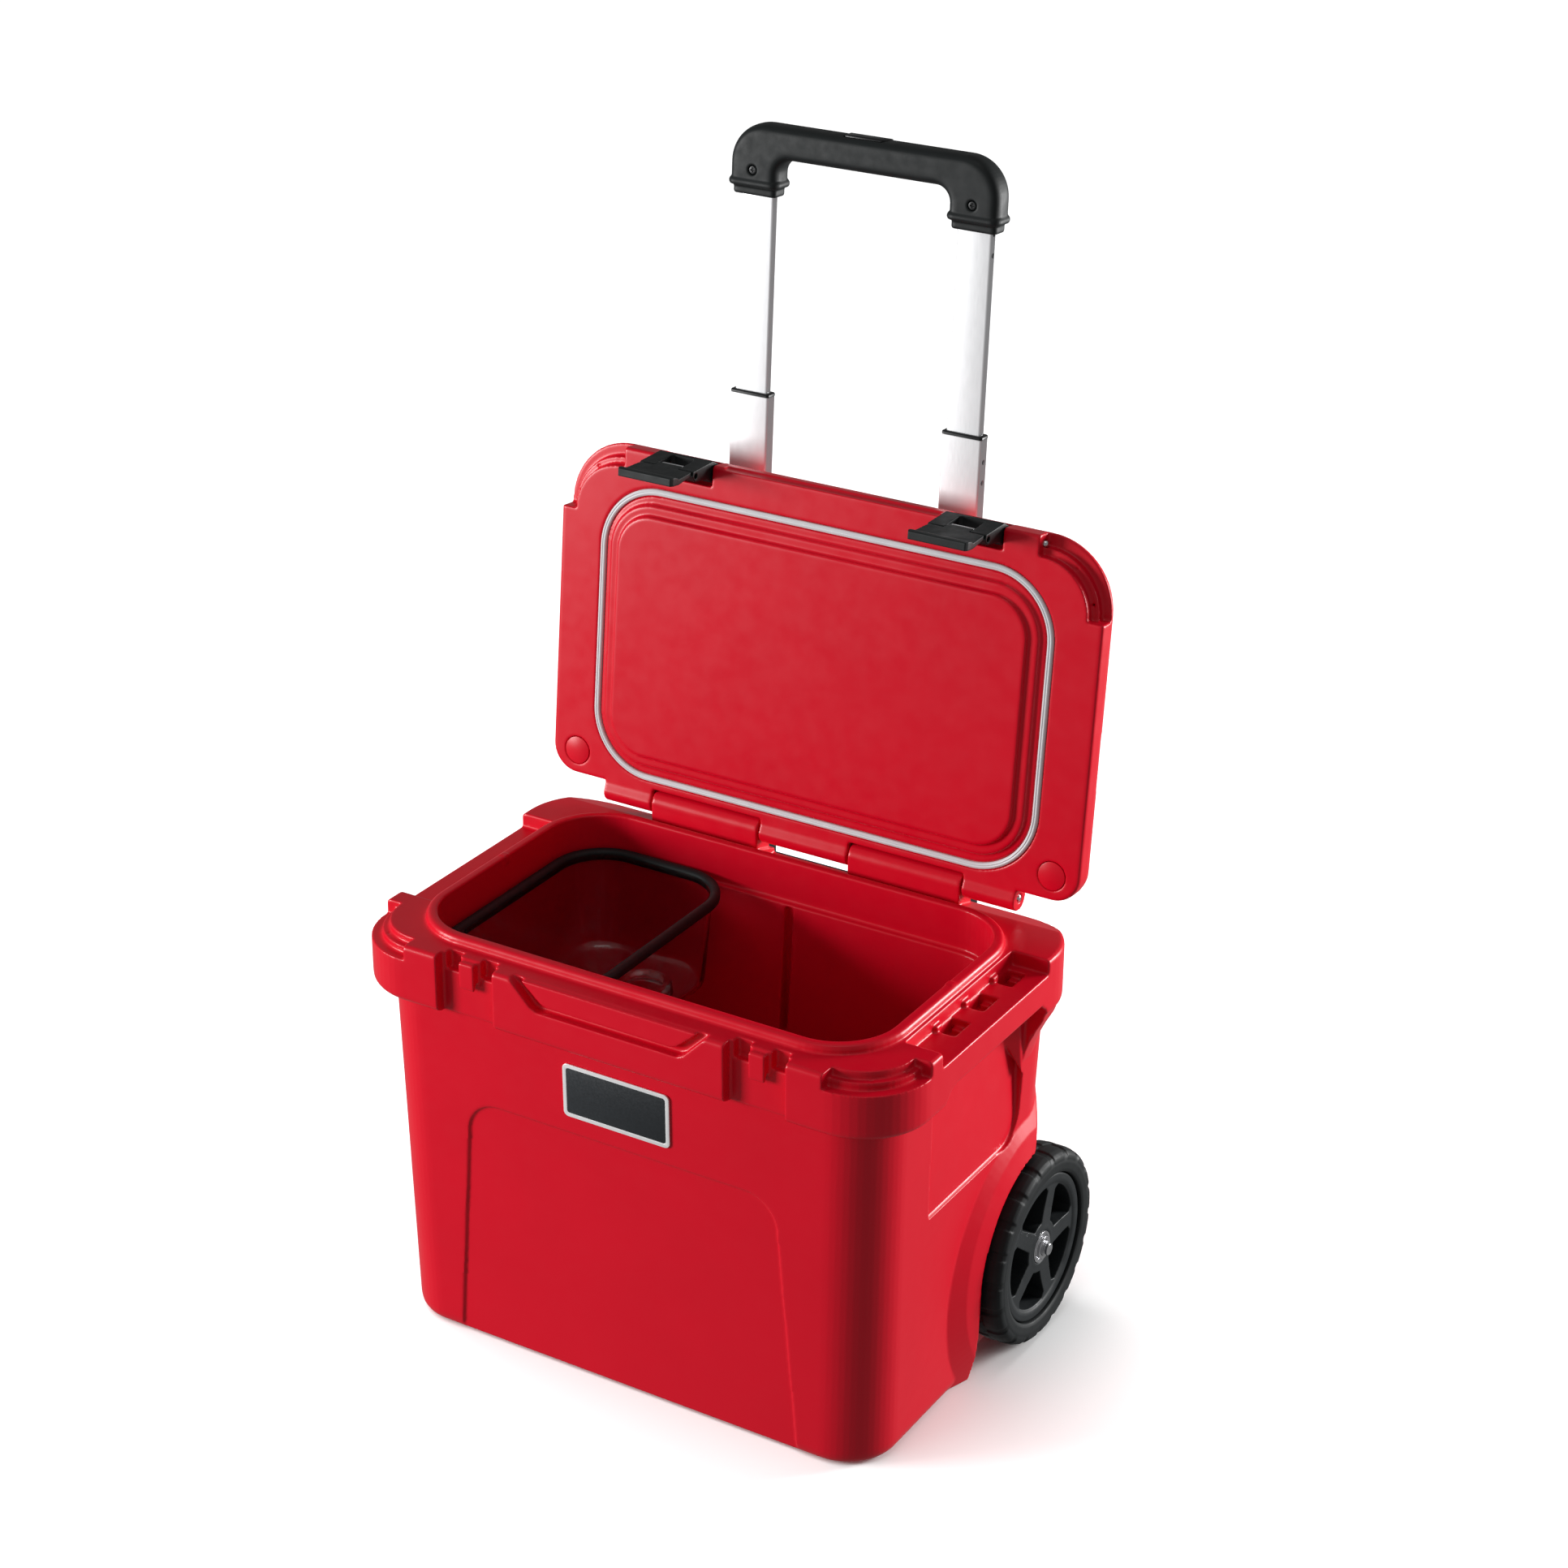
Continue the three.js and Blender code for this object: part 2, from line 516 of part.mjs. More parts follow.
function lidShell() {
  const outer = lidOutline(0, 28);
  let shell = lofted(outer, [
    [1.2, LID_UNDER], [0, LID_UNDER + 1.2], [0.5, 455], [6, 467], [18, LID_TOP]]);
  // The plug panel drops into the opening.
  const plug = roundedRect(-236, 236, -134, 134, 50);
  shell = join(shell, lofted(plug, [[5, 427.6], [0, 432], [0, 438]]));
  // Barrels for the hinge pin.
  const barrel = [
    ...arc(HINGE_Y, HINGE_Z, HINGE_RADIUS, -90, 90, 8),
    ...polygon([148, HINGE_Z + HINGE_RADIUS], [148, LID_UNDER], [164, LID_UNDER]),
  ];
  shell = join(shell,
    prismX(barrel, -BARREL_MIDDLE, BARREL_MIDDLE),
    prismX(barrel, BARREL_IN, BARREL_OUT), prismX(barrel, -BARREL_OUT, -BARREL_IN));
  // Room for the tub's knuckles, and the pin's bore.
  [[KNUCKLE_IN - 1.5, KNUCKLE_OUT + 1.5], [-KNUCKLE_OUT - 1.5, -KNUCKLE_IN + 1.5]].forEach(([x0, x1]) => {
    shell = cut(shell, rodX(x0, x1, HINGE_Y, HINGE_Z, HINGE_RADIUS + 2, 16));
    shell = cut(shell, box(x0, x1, HINGE_Y - HINGE_RADIUS - 1.5, HINGE_Y + 30, 420, 480));
  });
  shell = cut(shell, rodX(-260, 260, HINGE_Y, HINGE_Z, PIN_RADIUS + GAP, 12));
  [1, -1].forEach((side) => {
    const spanX = (a, b, ...rest) => (side > 0 ? box(a, b, ...rest) : box(-b, -a, ...rest));
    // Quarter-moon finger recess, in two steps.
    shell = cut(shell,
      prismZ(moonOutline(side, MOON_RADIUS + MOON_STEP), 425, 454),
      prismZ(moonOutline(side, MOON_RADIUS), 425, 446));
    // Latch recess in the front edge, roofed by the lid's top skin.
    shell = cut(shell, spanX(
      LATCH_X - LATCH_SLOT_HALF, LATCH_X + LATCH_SLOT_HALF, -210, -163.5, 425, LATCH_ROOF));
  });
  shell = cut(shell, rodX(-240, 240, ROD_Y, ROD_Z, ROD_RADIUS + GAP, 12));
  // Gasket groove.
  const half = GASKET_WIDTH / 2 + GAP;
  shell = cut(shell, prismZ(gasketOutline(half), 430, LID_UNDER + 3, [gasketOutline(-half).reverse()]));
  FILL_SPOTS.forEach(([x, y]) => {
    shell = cut(shell, rodZ(x, y, 430, 441.5, 14.5));
    shell = cut(shell, rodZ(x - Math.sign(x) * 5, y - 4, 441, 446, 7));
  });
  return cut(shell, lidHollow(0));
}

place('lid_shell', lidShell(), RED, shut);
place('lid_foam', lidHollow(GAP), FOAM, shut);
FILL_SPOTS.forEach(([x, y], i) => {
  const plug = rodZ(x, y, LID_UNDER - 0.2, 441.1, 14.5 - GAP);
  place(i === 0 ? 'lid_plug_right' : 'lid_plug_left', plug, RED, shut);
});
const gasket = prismZ(
  gasketOutline(GASKET_WIDTH / 2), BEAD_TOP + GAP, LID_UNDER + 2.7,
  [gasketOutline(-GASKET_WIDTH / 2).reverse()]);
place('lid_gasket', gasket, GASKET_GREY, shut);
place('latch_rod', rodX(-229, 229, ROD_Y, ROD_Z, ROD_RADIUS, 12), STEEL, shut);

// ---------------------------------------------------------------- latches, hanging from the rod
const LATCH_HALF = 30.5;
const WINDOW_HALF = 13.6;
const LATCH_PIN_Y = -182.4;      // the silver pin across the window, where the tab turns
const LATCH_PIN_Z = 416.5;

function latchBody(x) {
  const side = [
    ...arc(ROD_Y, ROD_Z, 7.6, 150, 0, 5),
    ...polygon([-166.9, 440], [-172, 431], [-174, 409], [-180, 404], [-184.6, 405],
      [-188.4, 440], [-184, 449.5]),
  ].reverse();
  let body = prismX(side, x - LATCH_HALF, x + LATCH_HALF);
  body = cut(body, box(x - WINDOW_HALF, x + WINDOW_HALF, -210, -160, 400, 436));
  body = cut(body, box(x - 18.5, x + 18.5, -181, -160, 400, 434));
  return cut(body, rodX(x - 40, x + 40, ROD_Y, ROD_Z, ROD_RADIUS + GAP, 12));
}

function latchTab(x) {
  const face = [
    ...polygon([-13.2, 413], [13.2, 413], [13.2, 403.4], [28.5, 403.4], [31.2, 371], [29.5, 366],
      [-29.5, 366], [-31.2, 371], [-28.5, 403.4], [-13.2, 403.4]),
  ].map((point) => new THREE.Vector2(point.x + x, point.y)).reverse();
  const side = polygon(
    [-180.2, 430], [-187, 430], [-184.4, 403], [-182.4, 379], [-185.6, 371], [-184, 365],
    [-177.5, 366], [-177, 380], [-180.2, 402]);
  return prismY(face, -200, -170).intersect(prismX(side, x - 40, x + 40));
}

[['right', LATCH_X], ['left', -LATCH_X]].forEach(([name, x]) => {
  place(`latch_body_${name}`, latchBody(x), BLACK, shut);
  place(`latch_tab_${name}`, latchTab(x), BLACK, shut);
  place(`latch_pin_${name}`,
    rodX(x - WINDOW_HALF + GAP, x + WINDOW_HALF - GAP, LATCH_PIN_Y, LATCH_PIN_Z, 2.4, 12),
    STEEL, shut);
});

// ---------------------------------------------------------------- handle, modelled upright in a tilted group
const handle = new THREE.Group();
handle.position.set(0, HANDLE_Y, HANDLE_Z);
handle.rotation.x = -THREE.MathUtils.degToRad(HANDLE_TILT_DEG);
root.add(handle);

function tubeSection(x, width, depth, radius) {
  return roundedRect(x - width / 2, x + width / 2, -depth / 2, depth / 2, radius, 1);
}

[['right', TUBE_X], ['left', -TUBE_X]].forEach(([name, x]) => {
  STAGES.forEach((stage, level) => {
    const inner = tubeSection(x, stage.width - 2 * TUBE_WALL, stage.depth - 2 * TUBE_WALL, 1);
    const tube = prismZ(tubeSection(x, stage.width, stage.depth, 2.4), stage.bottom, stage.top)
      .subtract(prismZ(inner, stage.bottom - 1, stage.top + 1));
    place(`${stage.name}_${name}`, tube, ALUMINIUM, handle);
    const next = STAGES[level + 1];
    if (!next) return;
    // Black collar: a lip on the tube's end and a short guide inside it.
    const inset = 2 * (TUBE_WALL + GAP);
    const lip = prismZ(
      tubeSection(x, stage.width + 0.8, stage.depth + 0.8, 2.8), stage.top + GAP, stage.top + COLLAR_LIP);
    const guide = prismZ(
      tubeSection(x, stage.width - inset, stage.depth - inset, 1), stage.top - 14, stage.top + 1);
    const way = prismZ(
      tubeSection(x, next.width + 2 * GAP, next.depth + 2 * GAP, 2.4), stage.top - 20, stage.top + 10);
    place(`${stage.name}_collar_${name}`, lip.add(guide).subtract(way), BLACK, handle);
  });
});

// Grip: two legs on the top tubes and a bar between them.
const GRIP_OUT = 142.7;
const GRIP_IN = 90.3;
const GRIP_TOP = 687.5;
const GRIP_UNDER = 655.6;
const LEG_BOTTOM = 630;
const COLLAR_BOTTOM = 619.1;
const GRIP_HALF_DEPTH = 14.25;

function grip() {
  const right = [
    new THREE.Vector2(GRIP_IN, LEG_BOTTOM), new THREE.Vector2(GRIP_OUT, LEG_BOTTOM),
    ...arc(GRIP_OUT - 38, GRIP_TOP - 38, 38, 0, 90, 5),
  ];
  const inside = arc(GRIP_IN - 14, GRIP_UNDER - 14, 14, 90, 0, 3);
  const outline = [...right, ...mirrorX(right), ...mirrorX(inside), ...inside];
  const flat = new THREE.Shape(outline);
  const bar = new THREE.ExtrudeGeometry(flat, {
    depth: 2 * GRIP_HALF_DEPTH - 16, bevelThickness: 8, bevelSize: 8, bevelOffset: -8, bevelSegments: 2,
  });
  const turn = new THREE.Matrix4().makeBasis(
    new THREE.Vector3(1, 0, 0), new THREE.Vector3(0, 0, 1), new THREE.Vector3(0, -1, 0));
  let body = solid(bar.applyMatrix4(turn).translate(0, GRIP_HALF_DEPTH - 8, 0));
  [TUBE_X + 0.8, -TUBE_X - 0.8].forEach((x) => {
    body = join(body, lofted(
      roundedRect(x - 27.8, x + 27.8, -15.8, 15.8, 9, 2),
      [[3, LEG_BOTTOM - 2.5], [0, LEG_BOTTOM], [0, LEG_BOTTOM + 3], [3, LEG_BOTTOM + 6]]));
    const cuff = roundedRect(x - 23.7, x + 23.7, -10.5, 10.5, 5, 2);
    body = join(body, prismZ(cuff, COLLAR_BOTTOM, LEG_BOTTOM + 10));
  });
  [TUBE_X, -TUBE_X].forEach((x) => {
    body = cut(body, prismZ(tubeSection(x, 36.6, 9.1, 2.4), COLLAR_BOTTOM - 5, 640.4));
    body = cut(body, rodY(x + Math.sign(x) * 0.6, 643.5, -30, -9, 4.4, 12));
  });
  return cut(body, box(-23.4, 23.4, -6.9, 5.9, GRIP_TOP - 14, GRIP_TOP + 10));
}

place('grip', grip(), BLACK, handle);
const button = prismZ(roundedRect(-23, 23, -6.5, 5.5, 2, 1), GRIP_TOP - 9, GRIP_TOP + 1.2);
place('release_button', button, BLACK, handle);
place('grip_screw_right', rodY(TUBE_X + 0.6, 643.5, -13.6, -9.3, 4.1, 12), BLACK, handle);
place('grip_screw_left', rodY(-TUBE_X - 0.6, 643.5, -13.6, -9.3, 4.1, 12), BLACK, handle);

// ---------------------------------------------------------------- handle brackets on the back of the tub
function sleeveRoom() {
  const turn = new THREE.Matrix4().makeRotationX(-THREE.MathUtils.degToRad(HANDLE_TILT_DEG))
    .setPosition(0, HANDLE_Y, HANDLE_Z);
  const rooms = [TUBE_X, -TUBE_X].map((x) => {
    const shape = roundedRect(x - 27 - GAP, x + 27 + GAP, -12.5 - GAP, 12.5 + GAP, 2.4, 1);
    return solid(extruded(shape, 460).translate(0, 0, -386).applyMatrix4(turn));
  });
  return join(...rooms);
}

function bracketPlan(front, back, web) {
  const half = [
    [0, front], [152, front], [152, back - 5], [147, back], [84, back], [79, back - 5], [79, web],
    [0, web],
  ];
  const right = polygon(...half);
  return [...right, ...mirrorX(right.slice(1, -1))];
}

const upperBracket = prismZ(bracketPlan(FLANGE_BACK + GAP, 247, 210), 370, 404).subtract(sleeveRoom());
place('bracket_upper', upperBracket, BLACK);

const lowerBlock = prismZ(bracketPlan(160, 229, 192), 76, 110);
const lowerFront = prismX(polygon(
  [150, 60], [bodyBackAt(60) + GAP, 60], [bodyBackAt(130) + GAP, 130], [150, 130]), -200, 200);
place('bracket_lower', cut(lowerBlock, lowerFront, sleeveRoom()), BLACK);

const BRACKET_SCREWS = [['upper', 210, 387, 30], ['upper', 210, 387, 60], ['lower', 192, 93, 45]];
BRACKET_SCREWS.forEach(([which, back, z, x], i) => {
  place(`bracket_screw_${which}_${i}_right`, rodY(x, z, back + GAP, back + 3.2, 5, 10), STEEL);
  place(`bracket_screw_${which}_${i}_left`, rodY(-x, z, back + GAP, back + 3.2, 5, 10), STEEL);
});

// ---------------------------------------------------------------- wheels
// A closed profile of [radius, x] pairs turned round the X axis.
function turned(profile, sides) {
  const points = polygon(...profile, profile[0]);
  return solid(new THREE.LatheGeometry(points, sides).rotateZ(-Math.PI / 2));
}

const SPOKES = 5;
const RIM_IN = 65.5;
const RIM_OUT = 75.7;
const BOSS = 19;

function hub() {
  let body = turned([
    [BOSS, -19], [RIM_OUT, -19], [RIM_OUT, 17.5], [RIM_IN, 17.5], [RIM_IN, 16], [BOSS, 16],
    [16.4, 16], [16.4, 11], [8.2, 11], [8.2, -19]], 24);
  for (let i = 0; i < SPOKES; i += 1) {
    const angle = 360 / SPOKES;
    const widest = angle / 2 - 8;
    const narrow = angle / 2 - 21;
    const opening = [
      ...arc(0, 0, RIM_IN - 1, -widest, widest, 3),
      ...arc(0, 0, 26, narrow, -narrow, 1),
    ];
    const middle = THREE.MathUtils.degToRad(90 + 18 + i * angle);
    opening.forEach((point) => point.rotateAround(new THREE.Vector2(0, 0), middle));
    body = cut(body, prismX(opening, -12, 30));
  }
  return body;
}

function wheel(side) {
  const group = new THREE.Group();
  group.position.set(side * (WHEEL_IN + WHEEL_OUT) / 2, WHEEL_Y, WHEEL_RADIUS);
  if (side < 0) group.rotation.z = Math.PI;
  root.add(group);
  const name = side > 0 ? 'right' : 'left';
  const half = (WHEEL_OUT - WHEEL_IN) / 2;
  place(`tyre_${name}`, turned([
    [RIM_OUT + GAP + 0.7, -half + 2], [89, -half], [97, -half + 4], [WHEEL_RADIUS, -half + 12],
    [WHEEL_RADIUS, half - 12], [97, half - 4], [89, half], [RIM_OUT + GAP + 0.7, half - 2]], 32),
  RUBBER, group);
  place(`hub_${name}`, hub(), BLACK, group);
  place(`bearing_${name}`, turned([[8.1, 11.3], [16.1, 11.3], [16.1, 16.6], [8.1, 16.6]], 16), STEEL, group);
  place(`axle_washer_${name}`, turned([[7.8, 17], [11.5, 17], [11.5, 19.4], [7.8, 19.4]], 16), STEEL, group);
}
wheel(1);
wheel(-1);

// ---------------------------------------------------------------- basket
const basketOutline = roundedRect(
  BASKET_LEFT + 5, BASKET_RIGHT - 5, -BASKET_HALF_Y + 5, BASKET_HALF_Y - 5, 52);
const BASKET_RIM_Z = SHELF_TOP + GAP;
const basketOuter = lofted(basketOutline, [[16, BASKET_BOTTOM], [10, BASKET_BOTTOM + 5], [3, 389], [3, 398]]);
const basketInner = lofted(
  basketOutline, [[18.5, BASKET_BOTTOM + 3], [12.6, BASKET_BOTTOM + 8], [5.5, 389], [5.5, 410]]);
place('basket_tub', basketOuter.subtract(basketInner), CLEAR);
const rimOuter = roundedRect(BASKET_LEFT, BASKET_RIGHT, -BASKET_HALF_Y, BASKET_HALF_Y, 57);
const rim = lofted(rimOuter, [[1.5, BASKET_RIM_Z], [0, BASKET_RIM_Z + 2], [0, 398.5], [2.5, 401.5]]);
place('basket_rim', cut(rim,
  lofted(basketOutline, [[3 - GAP, BASKET_RIM_Z - 3], [3 - GAP, 398 + GAP]]),
  lofted(basketOutline, [[6, 390], [6, 410]])), RUBBER);

export default root;
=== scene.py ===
"""Wheeled hard cooler: the looks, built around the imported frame.

Shapes are drawn in millimetres, +Z up and the front towards -Y, and scaled to metres when a piece is made.
The lid is drawn shut and then turned open, and the handle is drawn upright and then tilted.
"""
import json
import math

import bmesh
import bpy
import numpy as np
from mathutils import Matrix, Vector

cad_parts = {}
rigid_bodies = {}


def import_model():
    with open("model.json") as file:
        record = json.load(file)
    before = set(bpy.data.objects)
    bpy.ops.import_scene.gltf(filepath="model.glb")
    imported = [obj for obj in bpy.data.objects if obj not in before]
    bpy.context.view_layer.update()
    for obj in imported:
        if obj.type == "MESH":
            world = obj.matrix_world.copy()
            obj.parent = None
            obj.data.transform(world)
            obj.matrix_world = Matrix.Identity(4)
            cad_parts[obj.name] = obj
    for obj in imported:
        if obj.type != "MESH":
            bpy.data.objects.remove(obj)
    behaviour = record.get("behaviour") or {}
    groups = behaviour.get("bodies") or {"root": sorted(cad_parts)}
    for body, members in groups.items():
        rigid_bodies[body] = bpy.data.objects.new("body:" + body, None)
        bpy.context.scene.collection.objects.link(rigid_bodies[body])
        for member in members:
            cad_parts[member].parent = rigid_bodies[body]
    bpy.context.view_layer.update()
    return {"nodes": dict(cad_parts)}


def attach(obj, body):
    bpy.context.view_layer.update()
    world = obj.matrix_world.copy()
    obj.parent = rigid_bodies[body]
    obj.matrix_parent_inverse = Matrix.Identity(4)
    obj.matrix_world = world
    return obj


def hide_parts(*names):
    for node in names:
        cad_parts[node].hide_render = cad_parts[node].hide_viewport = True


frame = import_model()

# ------------------------------------------------------------------ driving dimensions, mm
MM = 0.001
COARSE = 1.0

BODY_HALF, BODY_FRONT, BODY_BACK, BODY_RADIUS = 267.9, -161.4, 166.1, 53
DRAFT_SIDE, DRAFT_FRONT, DRAFT_BACK = 0.020, 0.016, 0.061
BODY_TOP = 405

FLANGE_HALF, FLANGE_FRONT, FLANGE_BACK, FLANGE_RADIUS = 298.5, -183, 191.8, 68.5
FLANGE_TOP = 426.5
SKIRT_BOTTOM = 369
SIDE_BOTTOM = 383
LEDGE_TOP = 411.5

OPENING_HALF_X, OPENING_HALF_Y, OPENING_RADIUS = 244.9, 143.2, 60
BEAD_WIDTH = 11
BEAD_TOP = 434.6
SHELF_TOP = 391
SHELF_WIDTH = 6
FLOOR_TOP, FLOOR_HALF_X, FLOOR_FRONT, FLOOR_BACK = 45, 229, -129, 108

MOON_X, MOON_Y, MOON_RADIUS, MOON_STEP = 230.5, -115, 50, 7
MOON_HOLES, MOON_HOLE_RADIUS = ((262, -158), (281, -128)), 1.6
POCKETS = (-37, 17, 71)               # front ends of the pockets in each side trough
LATCH_X, LATCH_SLOT_HALF, KEEPER_HALF = 157.5, 31.9, 8.4

HINGE_Y, HINGE_Z, HINGE_RADIUS, PIN_RADIUS = 172, 446, 12.5, 4.2
BORE_ROOM = 0.4                       # how much a bore's radius exceeds its rod's
KNUCKLE_GAP = 1.5
BARREL_MIDDLE, KNUCKLE_IN, KNUCKLE_OUT, BARREL_IN, BARREL_OUT = 50, 51.5, 175, 176.5, 233
LID_OPEN_DEG = 95.8

LID_HALF, LID_FRONT, LID_BACK, LID_UNDER, LID_TOP = 297.4, -185, 162, 436.4, 472.5
GASKET_HALF_X, GASKET_HALF_Y, GASKET_WIDTH, GASKET_RADIUS = 246.3, 146.9, 6.4, 64
ROD_Y, ROD_Z, ROD_RADIUS = -174.5, 449, 3.2
LATCH_ROOF = 460
FILL_X, FILL_Y, FILL_RADIUS = 268.3, 137.4, 14.5

WHEEL_Y, WHEEL_RADIUS, WHEEL_IN, WHEEL_OUT = 131.6, 99.7, 254.4, 297.8
WELL_RADIUS, WELL_IN = 106, 250
AXLE_RADIUS = 7.5
SWELL, SWELL_END_Y, SWELL_FADE = 13, 160, 50
RIM_IN, RIM_OUT, BOSS = 65.5, 75.7, 19
SPOKES = 5
TREAD_BLOCKS = 20
DRAIN_Z = 54
BADGE_Z = 318

TUBE_X, HANDLE_TILT_DEG, HANDLE_Y, HANDLE_Z = 115.7, 3.45, 230.15, 435.1
TUBE_WALL, TUBE_CORNER = 1.7, 2.4
HOLE_DROP, HOLE_STEP, HOLE_RADIUS = 22, 20, 2.6
STAGES = [                            # outer width and depth, bottom and top along the tilted handle
    ("sleeve", 54, 25, -385, 45.9),
    ("stage_low", 48, 19.5, -25, 235.9),
    ("stage_mid", 42, 14, 169, 425.9),
    ("stage_top", 36, 8.5, 359, 640),
]
STAGE_BODY = {"sleeve": "tub", "stage_low": "handle_low", "stage_mid": "handle_mid",
              "stage_top": "handle_top"}
BRACKET_UPPER, BRACKET_LOWER = (370, 404), (76, 110)   # bottom and top
BRACKET_BOLTS = (("upper_0", 210, 387, 30), ("upper_1", 210, 387, 60), ("lower_2", 192, 93, 45))

BASKET_LEFT, BASKET_RIGHT, BASKET_HALF_Y, BASKET_BOTTOM, BASKET_TOP = -241, -55.5, 139.5, 296, 398

SIDES = (("right", 1), ("left", -1))

CAMERA_AT = (1.4974, -2.3444, 1.8829)  # metres
CAMERA_AZIMUTH, CAMERA_ELEVATION, CAMERA_ROLL = 31.22, 25.16, 0.3
CAMERA_LENS = 76.58


# ------------------------------------------------------------------ outlines
def arc(cx, cy, radius, start, end, steps):
    """Points along an arc, angles in degrees."""
    angles = [math.radians(start + (end - start) * i / steps) for i in range(steps + 1)]
    return [(cx + radius * math.cos(a), cy + radius * math.sin(a)) for a in angles]


def circle(cx, cy, radius, steps=48):
    return arc(cx, cy, radius, 0, 360 - 360 / steps, steps - 1)


def rounded(x0, x1, y0, y1, radius, steps=14):
    """A rectangle with round corners, anticlockwise."""
    return (arc(x1 - radius, y0 + radius, radius, -90, 0, steps)
            + arc(x1 - radius, y1 - radius, radius, 0, 90, steps)
            + arc(x0 + radius, y1 - radius, radius, 90, 180, steps)
            + arc(x0 + radius, y0 + radius, radius, 180, 270, steps))


def centred(half_x, half_y, radius, steps=14):
    return rounded(-half_x, half_x, -half_y, half_y, radius, steps)


def mirrored(points):
    return [(-x, y) for x, y in reversed(points)]


# ------------------------------------------------------------------ solids
def mesh_of(verts, faces):
    """A closed mesh with its faces outward."""
    mesh = bpy.data.meshes.new("solid")
    mesh.from_pydata([tuple(v) for v in verts], [], faces)
    work = bmesh.new()
    work.from_mesh(mesh)
    bmesh.ops.recalc_face_normals(work, faces=work.faces)
    work.to_mesh(mesh)
    work.free()
    return mesh


def stack(rings, closed=False):
    """A solid through rings of equal point counts: capped at both ends, or closed on itself."""
    count = len(rings[0])
    verts = [p for ring in rings for p in ring]
    faces = []
    for k in range(len(rings) if closed else len(rings) - 1):
        low, high = k * count, (k + 1) % len(rings) * count
        for i in range(count):
            j = (i + 1) % count
            faces.append((low + i, low + j, high + j, high + i))
    if not closed:
        faces.append(tuple(range(count)))
        faces.append(tuple(range(len(verts) - count, len(verts))))
    return mesh_of(verts, faces)


def prism_x(points, x0, x1):
    return stack([[(x, y, z) for y, z in points] for x in (x0, x1)])


def prism_y(points, y0, y1):
    return stack([[(x, y, z) for x, z in points] for y in (y0, y1)])


def prism_z(points, z0, z1):
    return stack([[(x, y, z) for x, y in points] for z in (z0, z1)])


def box(x0, x1, y0, y1, z0, z1):
    return prism_z([(x0, y0), (x1, y0), (x1, y1), (x0, y1)], z0, z1)


def rod_x(x0, x1, y, z, radius, steps=32):
    return prism_x(circle(y, z, radius, steps), x0, x1)


def rod_y(x, z, y0, y1, radius, steps=32):
    return prism_y(circle(x, z, radius, steps), y0, y1)


def rod_z(x, y, z0, z1, radius, steps=32):
    return prism_z(circle(x, y, radius, steps), z0, z1)


def inset_ring(points, inset):
    """The outline moved inward, each corner along its own bisector."""
    here = np.array(points)
    before, after = np.roll(here, 1, 0), np.roll(here, -1, 0)
    a = (here - before) / np.linalg.norm(here - before, axis=1)[:, None]
    b = (after - here) / np.linalg.norm(after - here, axis=1)[:, None]
    middle = (a + b) / np.linalg.norm(a + b, axis=1)[:, None]
    stretch = 1 / np.maximum(0.5, (middle * a).sum(1))
    inward = np.stack([-middle[:, 1], middle[:, 0]], 1) * stretch[:, None]
    return here + inward * inset


def inset_rings(points, profile):
    """The outline in x and y at each height of a profile of (inset, z)."""
    return [[(x, y, z) for x, y in inset_ring(points, inset)] for inset, z in profile]


def tapered(points, profile, warp=None):
    """A capped solid whose outline shrinks by an inset at each height of a profile of (inset, z)."""
    rings = inset_rings(points, profile)
    if warp:
        rings = [[warp(point) for point in ring] for ring in rings]
    return stack(rings)


def turned_x(profile, steps):
    """A closed profile of (radius, x) turned round the X axis."""
    rings = []
    for k in range(steps):
        angle = 2 * math.pi * k / steps
        rings.append([(x, r * math.cos(angle), r * math.sin(angle)) for r, x in profile])
    return stack(rings, closed=True)


def turned_rod(profile, y, z, steps):
    """A capped rod along X from a profile of (radius, x)."""
    angles = np.linspace(0, 2 * math.pi, steps + 1)[:-1]
    return stack([[(x, y + r * math.cos(a), z + r * math.sin(a)) for a in angles] for r, x in profile])


def smooth_edges(mesh, angle=35):
    """Smooth shading, with edges sharper than the angle kept crisp."""
    mesh.polygons.foreach_set("use_smooth", [True] * len(mesh.polygons))
    mesh.set_sharp_from_angle(angle=math.radians(angle))
    return mesh


def held(mesh):
    """A passing object that carries a mesh through modifiers."""
    obj = bpy.data.objects.new("held", mesh)
    bpy.context.scene.collection.objects.link(obj)
    return obj


def settled(obj, *tools):
    """The mesh after the object's modifiers. The passing objects are removed."""
    bpy.context.view_layer.update()
    graph = bpy.context.evaluated_depsgraph_get()
    mesh = bpy.data.meshes.new_from_object(obj.evaluated_get(graph))
    for passing in (obj, *tools):
        bpy.data.objects.remove(passing)
    return mesh


def combined(base, steps):
    """The base after boolean steps, each a pair of operation and solid."""
    body = held(base)
    tools = []
    for operation, solid in steps:
        tool = held(solid)
        step = body.modifiers.new("step", "BOOLEAN")
        step.operation = operation
        step.solver = "MANIFOLD"
        step.object = tool
        tools.append(tool)
    return settled(body, *tools)


def carved(base, adds=(), cuts=()):
    """One solid: the base with solids added, then others cut away."""
    return combined(base, [("UNION", solid) for solid in adds] + [("DIFFERENCE", solid) for solid in cuts])


def shared(base, limit):
    """What two solids have in common."""
    return combined(base, [("INTERSECT", limit)])


def merged(solids):
    """Several solids in one mesh, left as they are."""
    work = bmesh.new()
    for solid in solids:
        work.from_mesh(solid)
    mesh = bpy.data.meshes.new("merged")
    work.to_mesh(mesh)
    work.free()
    return mesh


def moved(mesh, matrix):
    mesh = mesh.copy()
    mesh.transform(matrix)
    if matrix.determinant() < 0:
        mesh.flip_normals()
    return mesh


